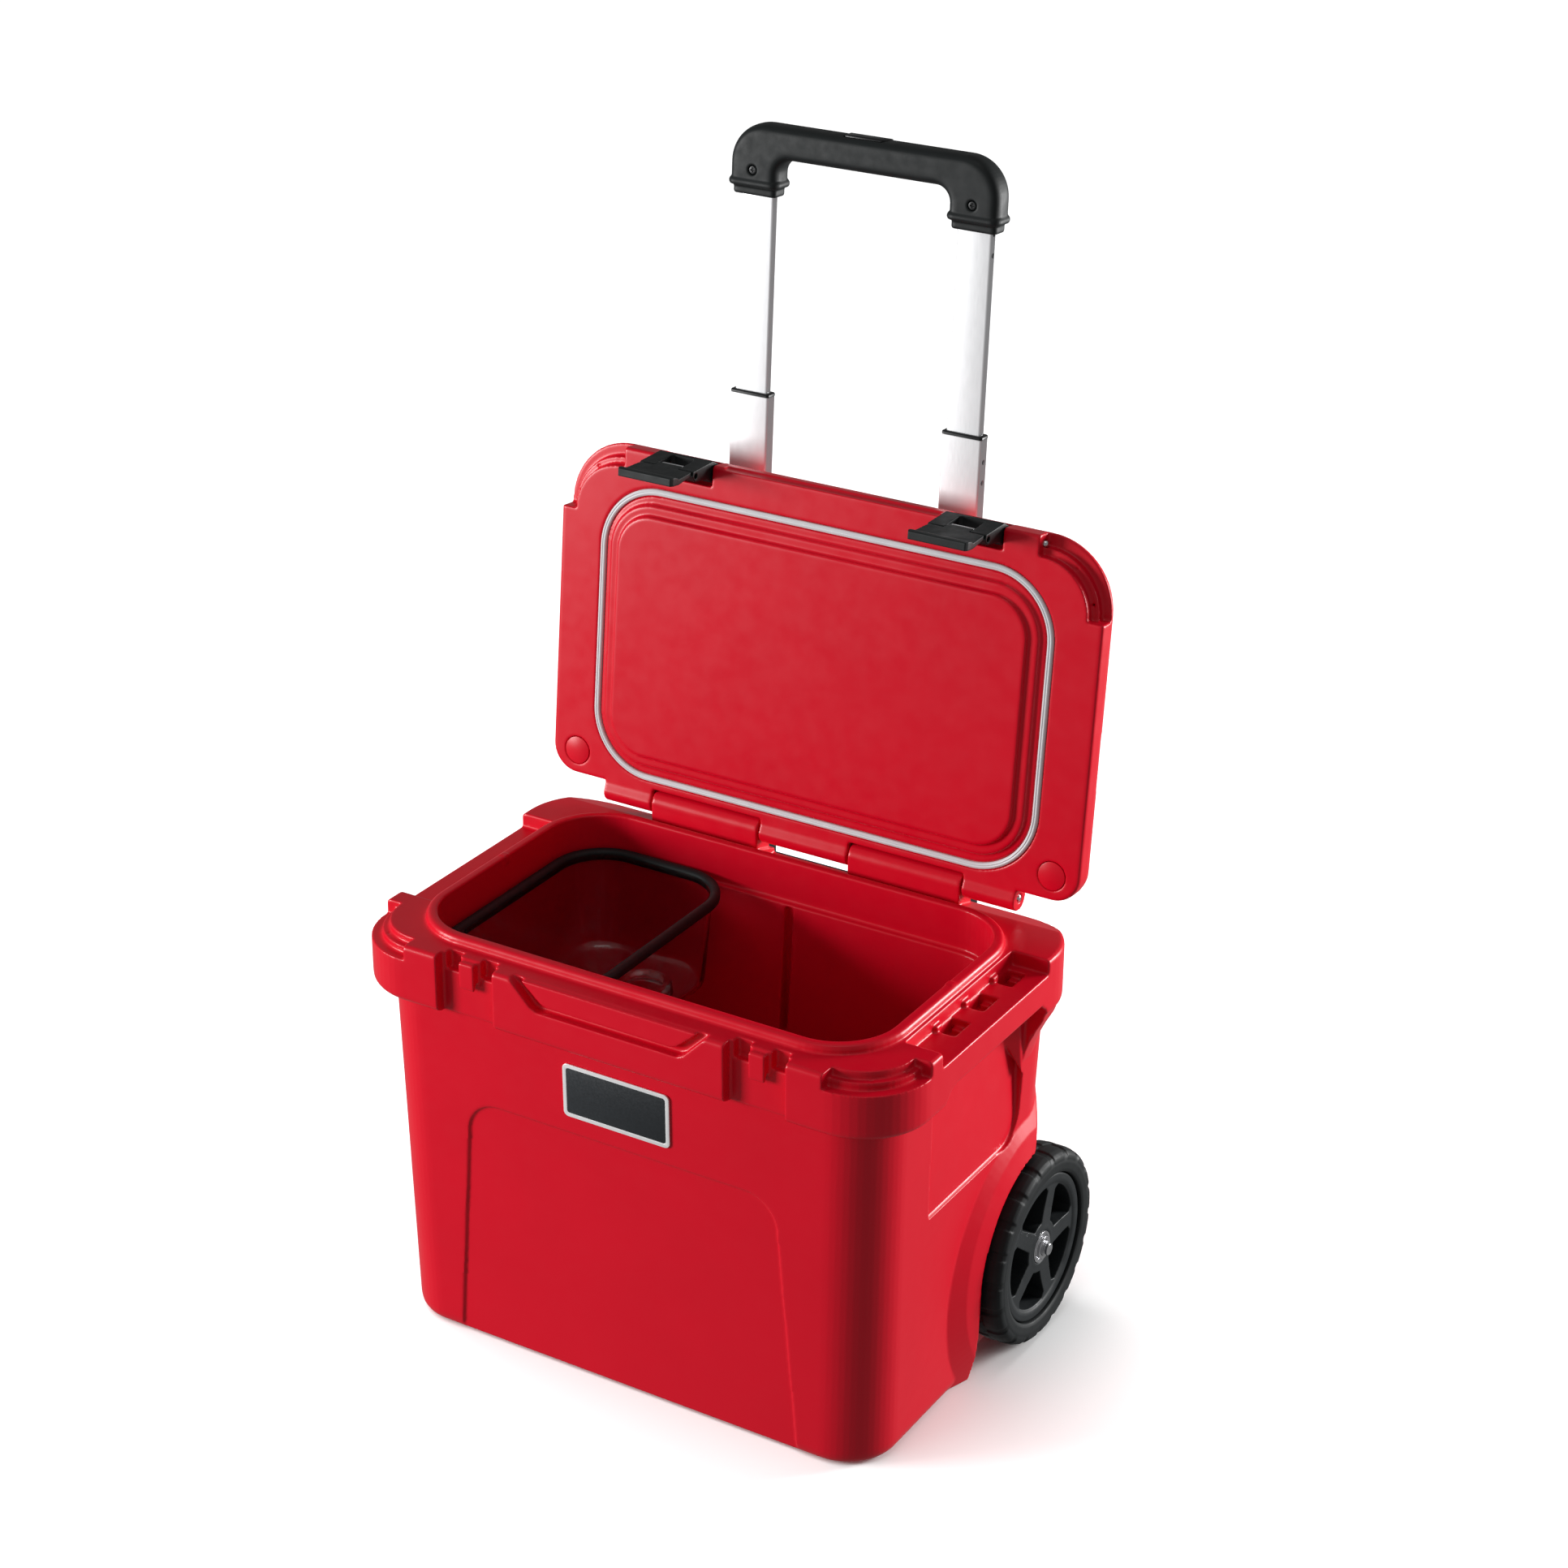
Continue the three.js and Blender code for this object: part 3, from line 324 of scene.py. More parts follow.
def flipped(mesh):
    """The same solid on the other side of the middle plane."""
    return moved(mesh, Matrix.Diagonal((-1, 1, 1, 1)))


def both(solids):
    """The solids and their mirror images."""
    return [*solids, *[flipped(solid) for solid in solids]]


# ------------------------------------------------------------------ places
LID_TURN = (Matrix.Translation((0, HINGE_Y, HINGE_Z))
            @ Matrix.Rotation(-math.radians(LID_OPEN_DEG), 4, "X")
            @ Matrix.Translation((0, -HINGE_Y, -HINGE_Z)))
HANDLE_TURN = (Matrix.Translation((0, HANDLE_Y, HANDLE_Z))
               @ Matrix.Rotation(-math.radians(HANDLE_TILT_DEG), 4, "X"))
STILL = Matrix()


def piece(name, mesh, body, material, replaces, turn=STILL):
    """A finished piece in metres, on its body, standing for CAD nodes."""
    mesh = mesh.copy()
    mesh.transform(Matrix.Scale(MM, 4) @ turn)
    if turn.determinant() < 0:
        mesh.flip_normals()
    mesh.name = name
    mesh.materials.clear()
    mesh.materials.append(material)
    obj = bpy.data.objects.new(name, mesh)
    bpy.context.scene.collection.objects.link(obj)
    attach(obj, body)
    if replaces:
        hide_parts(*replaces)
    return obj


def skinned(solids, grain, rounds, keep=1.0):
    """Overlapping solids as one moulded skin with soft edges. grain is the size of its facets, mm."""
    obj = held(merged(solids))
    skin = obj.modifiers.new("skin", "REMESH")
    skin.mode = "VOXEL"
    skin.voxel_size = grain * COARSE
    skin.use_smooth_shade = True
    ease = obj.modifiers.new("ease", "SMOOTH")
    ease.factor = 0.5
    ease.iterations = max(2, round(rounds / COARSE))
    if keep < 1:
        thin = obj.modifiers.new("thin", "DECIMATE")
        thin.ratio = keep
    flats = obj.modifiers.new("flats", "WEIGHTED_NORMAL")
    flats.mode = "FACE_AREA"
    return settled(obj)


def edged(mesh, width, segments=3):
    """A solid with every sharp edge rounded off."""
    obj = held(mesh)
    bevel = obj.modifiers.new("bevel", "BEVEL")
    bevel.width = width
    bevel.segments = segments
    bevel.limit_method = "ANGLE"
    bevel.angle_limit = math.radians(30)
    return smooth_edges(settled(obj), 40)


# ------------------------------------------------------------------ materials
class Surface:
    """A Principled material with procedural colour, roughness and relief in object space."""

    def __init__(self, name, color, roughness, metallic=0.0, **sockets):
        self.material = bpy.data.materials.new(name)
        self.material.use_nodes = True
        self.tree = self.material.node_tree
        self.shader = self.tree.nodes["Principled BSDF"]
        self.color = color
        self.shader.inputs["Base Color"].default_value = (*color, 1)
        self.shader.inputs["Roughness"].default_value = roughness
        self.shader.inputs["Metallic"].default_value = metallic
        for socket, value in sockets.items():
            self.shader.inputs[socket.replace("_", " ")].default_value = value
        self.place = self.tree.nodes.new("ShaderNodeTexCoord").outputs["Object"]
        self.material.diffuse_color = (*color, 1)

    def node(self, kind, **inputs):
        made = self.tree.nodes.new(kind)
        for socket, value in inputs.items():
            made.inputs[socket.replace("_", " ")].default_value = value
        return made

    def noise(self, scale, detail=3.0, stretch=(1, 1, 1)):
        """Noise of about 1/scale metres, longer along the axes whose stretch is small."""
        frame_of = self.node("ShaderNodeMapping", Scale=stretch)
        made = self.node("ShaderNodeTexNoise", Scale=scale, Detail=detail)
        self.tree.links.new(self.place, frame_of.inputs["Vector"])
        self.tree.links.new(frame_of.outputs["Vector"], made.inputs["Vector"])
        return made.outputs["Fac"]

    def spread(self, source, low, high, start=0.3, end=0.7):
        ranged = self.node("ShaderNodeMapRange", From_Min=start, From_Max=end, To_Min=low, To_Max=high)
        self.tree.links.new(source, ranged.inputs["Value"])
        return ranged.outputs["Result"]

    def tint(self, source, other):
        """The base colour drifts towards another colour where the source is high."""
        mix = self.tree.nodes.new("ShaderNodeMix")
        mix.data_type = "RGBA"
        for socket in mix.inputs:
            if socket.name == "A" and socket.type == "RGBA":
                socket.default_value = (*self.color, 1)
            if socket.name == "B" and socket.type == "RGBA":
                socket.default_value = (*other, 1)
        self.tree.links.new(source, mix.inputs["Factor"])
        result = [s for s in mix.outputs if s.type == "RGBA"][0]
        self.tree.links.new(result, self.shader.inputs["Base Color"])

    def gloss(self, source, low, high):
        self.tree.links.new(self.spread(source, low, high), self.shader.inputs["Roughness"])

    def relief(self, *layers):
        """Bumps, each a pair of source and height in metres."""
        last = None
        for source, height in layers:
            bump = self.node("ShaderNodeBump", Strength=1.0, Distance=height)
            self.tree.links.new(source, bump.inputs["Height"])
            if last:
                self.tree.links.new(last, bump.inputs["Normal"])
            last = bump.outputs["Normal"]
        self.tree.links.new(last, self.shader.inputs["Normal"])


def moulded_red():
    """Rotomoulded plastic: fine orange peel over slow waves, with faint flow marks."""
    s = Surface("red_plastic", (0.68, 0.0022, 0.0175), 0.32, Specular_IOR_Level=0.28)
    s.tint(s.spread(s.noise(14, 4), 0, 1), (0.655, 0.002, 0.0165))
    s.gloss(s.noise(55, 4), 0.28, 0.36)
    s.relief((s.noise(1150, 2), 0.00002), (s.noise(60, 2), 0.00003))
    return s.material


def moulded_black(name, color, low, high, peel):
    s = Surface(name, color, low, Specular_IOR_Level=0.28)
    s.tint(s.spread(s.noise(40, 4), 0, 1), tuple(c * 0.85 for c in color))
    s.gloss(s.noise(90, 4), low, high)
    s.relief((s.noise(1500, 2), peel), (s.noise(70, 2), 0.00003))
    return s.material


def anodised():
    """Extruded tube: long fine draw lines under a satin anodised skin."""
    s = Surface("tube_aluminium", (0.90, 0.905, 0.92), 0.36, metallic=0.35)
    lines = s.noise(1400, 2, stretch=(1, 1, 0.012))
    s.tint(s.spread(s.noise(9, 3), 0, 1), (0.85, 0.855, 0.87))
    s.gloss(lines, 0.33, 0.40)
    s.relief((lines, 0.000008))
    return s.material


def turned_steel():
    s = Surface("steel", (0.72, 0.72, 0.73), 0.22, metallic=1.0)
    s.tint(s.spread(s.noise(120, 4), 0, 1), (0.58, 0.58, 0.60))
    s.gloss(s.noise(300, 3), 0.16, 0.32)
    s.relief((s.noise(2200, 2), 0.000006))
    return s.material


def silicone():
    s = Surface("grey_gasket", (0.70, 0.70, 0.72), 0.42)
    s.tint(s.spread(s.noise(60, 3), 0, 1), (0.66, 0.66, 0.685))
    s.gloss(s.noise(160, 3), 0.36, 0.5)
    s.relief((s.noise(1300, 2), 0.00001))
    return s.material


def clear():
    s = Surface("clear_plastic", (0.97, 0.985, 0.985), 0.03, Transmission_Weight=1.0, IOR=1.45)
    s.gloss(s.noise(70, 3), 0.015, 0.06)
    s.relief((s.noise(18, 2), 0.0002))
    return s.material


def foam():
    s = Surface("insulation", (0.80, 0.70, 0.40), 0.9)
    cells = s.noise(700, 4)
    s.tint(s.spread(cells, 0, 1), (0.66, 0.55, 0.28))
    s.relief((cells, 0.0004))
    return s.material


def badge_face():
    s = Surface("badge_face", (0.022, 0.026, 0.030), 0.4, metallic=0.2)
    s.tint(s.spread(s.noise(300, 3), 0, 1), (0.018, 0.021, 0.024))
    s.gloss(s.noise(500, 3), 0.32, 0.48)
    s.relief((s.noise(2500, 2), 0.00001))
    return s.material


def badge_border():
    s = Surface("badge_border", (0.88, 0.88, 0.88), 0.3, metallic=0.25)
    s.tint(s.spread(s.noise(200, 3), 0, 1), (0.82, 0.82, 0.83))
    s.gloss(s.noise(400, 3), 0.25, 0.4)
    s.relief((s.noise(2500, 2), 0.000006))
    return s.material


RED = moulded_red()
BLACK = moulded_black("black_plastic", (0.007, 0.008, 0.009), 0.28, 0.42, 0.00002)
RUBBER = moulded_black("black_rubber", (0.0075, 0.0100, 0.0105), 0.46, 0.60, 0.000025)
TYRE = moulded_black("wheel_tyre", (0.006, 0.0078, 0.0085), 0.5, 0.66, 0.00003)
HUB = moulded_black("wheel_hub", (0.014, 0.0165, 0.018), 0.42, 0.56, 0.00002)
ALUMINIUM = anodised()
STEEL = turned_steel()
GASKET = silicone()
CLEAR = clear()
FOAM = foam()
BADGE_FACE = badge_face()
BADGE_BORDER = badge_border()


# ------------------------------------------------------------------ camera
def set_camera():
    azimuth, elevation = math.radians(CAMERA_AZIMUTH), math.radians(CAMERA_ELEVATION)
    back = Vector((math.sin(azimuth) * math.cos(elevation), -math.cos(azimuth) * math.cos(elevation),
                   math.sin(elevation)))
    right = (-back).cross(Vector((0, 0, 1))).normalized()
    up = right.cross(-back)
    roll = math.radians(CAMERA_ROLL)
    right, up = (right * math.cos(roll) + up * math.sin(roll), up * math.cos(roll) - right * math.sin(roll))
    data = bpy.data.cameras.new("camera")
    data.lens = CAMERA_LENS
    data.sensor_width = 36
    data.clip_end = 50
    camera = bpy.data.objects.new("camera", data)
    camera.matrix_world = Matrix.Translation(CAMERA_AT) @ Matrix((right, up, back)).transposed().to_4x4()
    bpy.context.scene.collection.objects.link(camera)
    bpy.context.scene.camera = camera


set_camera()


# ------------------------------------------------------------------ tub
def body_draft(point):
    x, y, z = point
    return (x + math.copysign(DRAFT_SIDE * z, x), y + (DRAFT_BACK if y > 0 else -DRAFT_FRONT) * z, z)


def front_at(z):
    return BODY_FRONT - DRAFT_FRONT * z


def back_at(z):
    return BODY_BACK + DRAFT_BACK * z


def basin():
    """The space inside the tub below the shelf."""
    rise = SHELF_TOP - FLOOR_TOP
    grow_x = OPENING_HALF_X - SHELF_WIDTH - FLOOR_HALF_X
    grow_back = OPENING_HALF_Y - SHELF_WIDTH - FLOOR_BACK
    grow_front = OPENING_HALF_Y - SHELF_WIDTH + FLOOR_FRONT

    def lean(point):
        x, y, z = point
        share = (z - FLOOR_TOP) / rise
        return (x + math.copysign(share * grow_x, x), y + share * (grow_back if y > 0 else -grow_front), z)

    floor = rounded(-FLOOR_HALF_X, FLOOR_HALF_X, FLOOR_FRONT, FLOOR_BACK, 50)
    profile = [(14, 45), (9, 46), (4, 49), (1, 54), (0, 60), (0, SHELF_TOP + 12)]
    return tapered(floor, profile, lean)


def well(side):
    """The wheel well: round over the wheel, straight down in front of it."""
    x0, x1 = (WELL_IN, 330) if side > 0 else (-330, -WELL_IN)
    over = rod_x(x0, x1, WHEEL_Y, WHEEL_RADIUS, WELL_RADIUS, 96)
    low, high = WHEEL_Y - WELL_RADIUS, WHEEL_Y + WELL_RADIUS + 20
    front = prism_x([(low, -20), (high, -20), (high, WHEEL_RADIUS), (low, WHEEL_RADIUS)], x0, x1)
    return [over, front]


def fender(side):
    """The flat cone that swells the body's side round a wheel well and dies away before the rear corner."""
    profile = [(1, 230), (200, 230), (200, 249), (128, 279), (106, 284), (1, 284)]
    disc = moved(turned_x(profile, 96), Matrix.Translation((0, WHEEL_Y, WHEEL_RADIUS)))

    def swell(point):
        x, y, z = point
        share = min(1.0, max(0.0, (SWELL_END_Y - y) / SWELL_FADE))
        return body_draft((x + math.copysign(SWELL * share, x), y, z))

    limit = rounded(-BODY_HALF, BODY_HALF, BODY_FRONT, BODY_BACK, 60)
    keep = tapered(limit, [(10, 0.2), (4, 3), (0, 11), (0, 300)], swell)
    return shared(disc if side > 0 else flipped(disc), keep)


def between_x(outline_yz, wedge_xz):
    """What an outline in y and z and a wedge in x and z share, on the right-hand side."""
    return shared(prism_x(outline_yz, 230, 330), prism_y(wedge_xz, -120, 160))


def hand_hold():
    """The recess under the flange, deeper towards the top, with a slanted corner left at its rear."""
    outline = [(-65, 231), *arc(78, 262, 31, -90, 0, 8), (114, 330), (99, SIDE_BOTTOM), (-65, SIDE_BOTTOM)]
    wedge = [(269.8, 229), (330, 229), (330, SIDE_BOTTOM), (260.6, SIDE_BOTTOM)]
    corners = [(250, 66, 390), (286, 108, 390), (279, 117, 282), (250, 122, 330)]
    gusset = mesh_of(corners, [(0, 1, 2), (0, 2, 3), (0, 3, 1), (1, 3, 2)])
    return carved(between_x(outline, wedge), cuts=[gusset])


def moon(radius, z0, z1):
    """The quarter-moon space outside a radius at the right front corner."""
    inner = arc(MOON_X, MOON_Y, radius, -90, 0, 14)
    outline = [(MOON_X - 4, MOON_Y - radius), *inner, (MOON_X + radius, MOON_Y + 1.5),
               (MOON_X + 90, MOON_Y + 1.5), (MOON_X + 90, MOON_Y - 90), (MOON_X - 4, MOON_Y - 90)]
    return prism_z(outline, z0, z1)


def tub_side_cuts():
    """Everything cut from the right-hand half of the flange and the side."""
    x0, x1 = LATCH_X - LATCH_SLOT_HALF, LATCH_X + LATCH_SLOT_HALF
    cuts = [
        moon(MOON_RADIUS + MOON_STEP, LEDGE_TOP, 440),
        moon(MOON_RADIUS, LEDGE_TOP + 7.5, 440),
        box(259.5, 330, -93, 109, LEDGE_TOP, 440),
        box(x0, x1, -200, -171, 355, 440),
        box(x0 + 4, LATCH_X - KEEPER_HALF - 3, -200, -163, 409, 440),
        box(LATCH_X + KEEPER_HALF + 3, x1 - 4, -200, -163, 409, 440),
        hand_hold(),
    ]
    cuts += [box(261, 279, y - 1, y + 28, LEDGE_TOP - 13, 440) for y in POCKETS]
    cuts += [rod_z(x, y, LEDGE_TOP - 2.5, 430, MOON_HOLE_RADIUS, 16) for x, y in MOON_HOLES]
    return cuts


def tub_side_adds():
    """Keeper block and pocket hooks, on the right-hand half."""
    keeper = [(-165, 424.5), (-177.5, 424.5), (-179, 423), (-179, 399), (-177.4, 396.8), (-175.6, 397.6),
              (-174.8, 402), (-172, 405), (-165, 406)]
    adds = [prism_x(keeper, LATCH_X - KEEPER_HALF, LATCH_X + KEEPER_HALF)]
    adds += [box(264, 274.5, y + 20, y + 29, LEDGE_TOP - 14, LEDGE_TOP - 7) for y in POCKETS]
    adds += [box(258.5, 263.5, y - 5, y + 5, LEDGE_TOP - 2, LEDGE_TOP + 6) for y in POCKETS]
    return adds


def tub_shell():
    foot = rounded(-BODY_HALF, BODY_HALF, BODY_FRONT, BODY_BACK, BODY_RADIUS)
    rim = rounded(-FLANGE_HALF, FLANGE_HALF, FLANGE_FRONT, FLANGE_BACK, FLANGE_RADIUS)
    opening = centred(OPENING_HALF_X, OPENING_HALF_Y, OPENING_RADIUS)
    bead = centred(OPENING_HALF_X + BEAD_WIDTH, OPENING_HALF_Y + BEAD_WIDTH, OPENING_RADIUS + BEAD_WIDTH)

    body = tapered(foot, [(11, 0), (6, 1.2), (2.6, 4), (0.7, 8), (0, 13), (0, BODY_TOP)], body_draft)
    flange = tapered(rim, [(8, SKIRT_BOTTOM - 4), (3, SKIRT_BOTTOM - 2), (0.4, SKIRT_BOTTOM + 1.5),
                           (0, SKIRT_BOTTOM + 5), (0, FLANGE_TOP - 4), (1.2, FLANGE_TOP - 1.2),
                           (4, FLANGE_TOP)])
    notch = [(-97, 360), (-90, 366), (-83, 372), (-77, 378.5), (-70, 382), (-60, SIDE_BOTTOM),
             (92, SIDE_BOTTOM), (99, 381.5), (106, 376), (112, 366), (116, 360)]
    flange = carved(flange, cuts=[prism_x(notch, 262, 330), prism_x(notch, -330, -262)])
    flare = carved(
        tapered(rim, [(24, 312), (22, 322), (18, 334), (12, 347), (5, 360), (1, 374), (0, 388)]),
        cuts=[box(-340, 340, -230, 110, 300, 400)])
    ridge = tapered(bead, [(0, FLANGE_TOP - 6), (0, BEAD_TOP - 4), (1.2, BEAD_TOP - 1.4), (3.4, BEAD_TOP)])

    knuckle = [*arc(HINGE_Y, HINGE_Z, HINGE_RADIUS, 0, 180, 24),
               (HINGE_Y - HINGE_RADIUS, 421), (HINGE_Y + HINGE_RADIUS, 414)]
    knuckles = [prism_x(knuckle, KNUCKLE_IN, KNUCKLE_OUT), prism_x(knuckle, -KNUCKLE_OUT, -KNUCKLE_IN)]
    nubs = [box(side * 248 - 4, side * 248 + 4, 6, 13, FLANGE_TOP, BEAD_TOP + 0.6) for side in (1, -1)]

    rear_fall = prism_x([(163, FLANGE_TOP + 0.4), (200, FLANGE_TOP + 0.4), (200, 415.5)], -330, 330)
    barrel_gap = box(-BARREL_MIDDLE, BARREL_MIDDLE, HINGE_Y - HINGE_RADIUS, 200, 413, 440)
    grooves = [
        box(-4.5, 4.5, 100, 141.5, 250, SHELF_TOP - 3),
        box(-4.5, 4.5, 100, 121, FLOOR_TOP + 6, SHELF_TOP - 3),
        box(-4.5, 4.5, -141.5, -100, 250, SHELF_TOP - 3),
        box(-4.5, 4.5, -134, -100, FLOOR_TOP + 6, SHELF_TOP - 3),
    ]
    scoop = [(-76, 399), (76, 399), (83, 402), (110, 430), (-110, 430), (-83, 402)]
    bar = [(-68, 405), (68, 405), (74, 407), (96, 426), (-96, 426), (-74, 407)]
    panel = [(-193, -10), (193, -10), *arc(136, 235, 36, -4, 90, 12), *arc(-136, 235, 36, 90, 184, 12)]
    panel_depth = prism_x([(-190, -10), (front_at(-10) + 2.5, -10), (front_at(290) + 2.5, 290), (-190, 290)],
                          -220, 220)
    panel_cut = shared(prism_y(panel, -190, -150), panel_depth)

    shell = carved(
        body,
        adds=[flange, flare, ridge, fender(1), fender(-1)],
        cuts=[rear_fall, barrel_gap, prism_z(opening, SHELF_TOP, 460), basin(), *grooves,
              *both(tub_side_cuts()), *well(1), *well(-1), prism_y(scoop, -190, -173), panel_cut,
              rod_y(0, DRAIN_Z, 90, 190, 9.2)])
    pin_bore = rod_x(-240, 240, HINGE_Y, HINGE_Z, PIN_RADIUS + BORE_ROOM)
    bored = [carved(knuckle_block, cuts=[pin_bore]) for knuckle_block in knuckles]
    solids = [shell, *bored, *nubs, *both(tub_side_adds()), prism_y(bar, -179, -170)]
    return skinned(solids, 1.25, 4, keep=0.4)


piece("tub_shell_moulded", tub_shell(), "tub", RED, ["tub_shell"])


# ------------------------------------------------------------------ lid, drawn shut
def lid_outline(front_radius=68, back_radius=28):
    front, back = LID_FRONT + front_radius, LID_BACK - back_radius
    return (arc(LID_HALF - front_radius, front, front_radius, -90, 0, 14)
            + arc(LID_HALF - back_radius, back, back_radius, 0, 90, 10)
            + arc(back_radius - LID_HALF, back, back_radius, 90, 180, 10)
            + arc(front_radius - LID_HALF, front, front_radius, 180, 270, 14))


def lid_shell():
    shell = tapered(lid_outline(), [
        (3, LID_UNDER), (0.8, LID_UNDER + 0.8), (0, LID_UNDER + 3), (0.3, 452), (1.6, 459), (5, 465.5),
        (10, 469.6), (18, LID_TOP)])
    pad = tapered(centred(236, 134, 50), [(12.4, 427.6), (11.2, 428.2), (10.6, 429.4), (10.3, 432.2),
                                          (1.4, 432.2), (0.3, 433.2), (0, 438)])
    barrel = [*arc(HINGE_Y, HINGE_Z, HINGE_RADIUS, -90, 90, 24),
              (148, HINGE_Z + HINGE_RADIUS), (148, LID_UNDER), (164, LID_UNDER)]
    barrels = [prism_x(barrel, -BARREL_MIDDLE, BARREL_MIDDLE), prism_x(barrel, BARREL_IN, BARREL_OUT),
               prism_x(barrel, -BARREL_OUT, -BARREL_IN)]
    half = GASKET_WIDTH / 2 + 0.9
    groove_out = centred(GASKET_HALF_X + half, GASKET_HALF_Y + half, GASKET_RADIUS + half)
    groove_in = centred(GASKET_HALF_X - half, GASKET_HALF_Y - half, GASKET_RADIUS - half)
    groove = carved(prism_z(groove_out, 430, LID_UNDER + 3), cuts=[prism_z(groove_in, 420, 450)])
    x0, x1 = LATCH_X - LATCH_SLOT_HALF, LATCH_X + LATCH_SLOT_HALF
    right = [
        rod_x(KNUCKLE_IN - KNUCKLE_GAP, KNUCKLE_OUT + KNUCKLE_GAP, HINGE_Y, HINGE_Z, HINGE_RADIUS + 2, 48),
        box(KNUCKLE_IN - KNUCKLE_GAP, KNUCKLE_OUT + KNUCKLE_GAP, HINGE_Y - HINGE_RADIUS - KNUCKLE_GAP,
            HINGE_Y + 30, 420, 480),
        moon(MOON_RADIUS + MOON_STEP, 425, 454),
        moon(MOON_RADIUS, 425, 446),
        box(x0, x1, -210, -163.5, 425, LATCH_ROOF),
        rod_z(FILL_X, FILL_Y, 430, 441.5, FILL_RADIUS, 48),
        prism_x([(-3, 459), (-9, 480), (58, 480), (52, 459)], 290.5, 310),
        *[rod_z(x, y, 440, 456.5, MOON_HOLE_RADIUS, 16) for x, y in MOON_HOLES],
    ]
    rod_bore = rod_x(-240, 240, ROD_Y, ROD_Z, ROD_RADIUS + BORE_ROOM)
    pin_bore = rod_x(-260, 260, HINGE_Y, HINGE_Z, PIN_RADIUS + BORE_ROOM)
    front_step = box(-113, 121, -200, LID_FRONT + 2.4, 425, 446)
    shell = carved(shell, adds=[pad, *barrels], cuts=[*both(right), rod_bore, pin_bore, groove, front_step])
    return skinned([shell], 1.2, 4, keep=0.4)


def gasket():
    """A soft bead with two fine lips, swept round the lid's groove."""
    path = centred(GASKET_HALF_X, GASKET_HALF_Y, GASKET_RADIUS, 20)
    half = GASKET_WIDTH / 2
    section = [(half, 439), (half, 436.6), (half - 0.5, 435.6), (1.1, 435.0), (0.5, 435.5), (0, 435.7),
               (-0.5, 435.5), (-1.1, 435.0), (0.5 - half, 435.6), (-half, 436.6), (-half, 439)]
    return smooth_edges(stack(inset_rings(path, section), closed=True), 60)


def fill_disc(radius, thickness):
    """A round plug with a broken edge, lying on z = 0 and facing down."""
    rings = [[(x, y, z) for x, y in circle(0, 0, r, 64)] for r, z in (
        (radius, thickness), (radius, 0.5), (radius - 0.15, 0.15), (radius - 0.5, 0))]
    return smooth_edges(stack(rings))


piece("lid_shell_moulded", lid_shell(), "lid", RED, ["lid_shell"], LID_TURN)
piece("lid_gasket_bead", gasket(), "lid", GASKET, ["lid_gasket"], LID_TURN)
for name, sign in SIDES:
    plug_place = LID_TURN @ Matrix.Translation((sign * FILL_X, FILL_Y, LID_UNDER - 0.1))
    piece(f"lid_plug_disc_{name}", fill_disc(FILL_RADIUS - 0.5, 4.5), "lid", RED,
          [f"lid_plug_{name}"], plug_place)


def long_rod(half, y, z, radius):
    """A steel rod along X with domed ends."""
    profile = [(radius * 0.3, half), (radius * 0.7, half - 0.5), (radius, half - 1.8), (radius, -half + 1.8),
               (radius * 0.7, -half + 0.5), (radius * 0.3, -half)]
    return smooth_edges(turned_rod(profile, y, z, 32), 50)


piece("hinge_pin_rod", long_rod(234, HINGE_Y, HINGE_Z, PIN_RADIUS), "tub", STEEL, ["hinge_pin"])
piece("latch_rod_bar", long_rod(229.6, ROD_Y, ROD_Z, ROD_RADIUS), "lid", STEEL, ["latch_rod"],
      LID_TURN)


# ------------------------------------------------------------------ latches, drawn on the shut lid
LATCH_HALF, WINDOW_HALF = 30.5, 13.6
LATCH_PIN_Y, LATCH_PIN_Z, LATCH_PIN_RADIUS = -182.4, 416.5, 2.4


def latch_body():
    """Rubber strap with a window, round over the rod and hooked at its end. Its middle is at x = 0."""
    side = [*arc(ROD_Y, ROD_Z, 7.6, 150, 0, 14), (-166.9, 440), (-172, 431), (-174, 409), (-180, 404),
            (-184.6, 405), (-188.4, 440), (-184, 449.5)]
    strap = prism_x(side, -LATCH_HALF, LATCH_HALF)
    half, top = WINDOW_HALF, 436
    window = prism_y([(-half, 400), (half, 400), (half, top - 2.5), (half - 2.5, top), (2.5 - half, top),
                      (-half, top - 2.5)], -210, -160)
    notches = [rod_x(x - 5, x + 5, -179.6, 409.5, 2.8) for x in (30.564, -30.564)]
    rod_bore = rod_x(-40, 40, ROD_Y, ROD_Z, ROD_RADIUS + BORE_ROOM)
    cuts = [window, box(-18.5, 18.5, -181, -160, 400, 434), rod_bore, *notches]
    return skinned([carved(strap, cuts=cuts)], 0.55, 2)


def latch_tab():
    """Pull tab that widens towards a thick lifted lip."""
    half = WINDOW_HALF - 0.4
    right = [(half, 413), (half, 403.4), (28.5, 403.4), (29.4, 399), (31.2, 373), (31, 369), (29.4, 366)]
    face = [*mirrored(right), *right][::-1]
    side = [(-180.2, 430), (-187, 430), (-184.4, 403), (-183.2, 388), (-182.6, 379), (-184.4, 376.4),
            (-185.8, 371), (-185.4, 366.6), (-183.6, 365), (-177.5, 366), (-177, 380), (-180.2, 402)]
    return skinned([shared(prism_y(face, -202, -170), prism_x(side, -40, 40))], 0.55, 2)


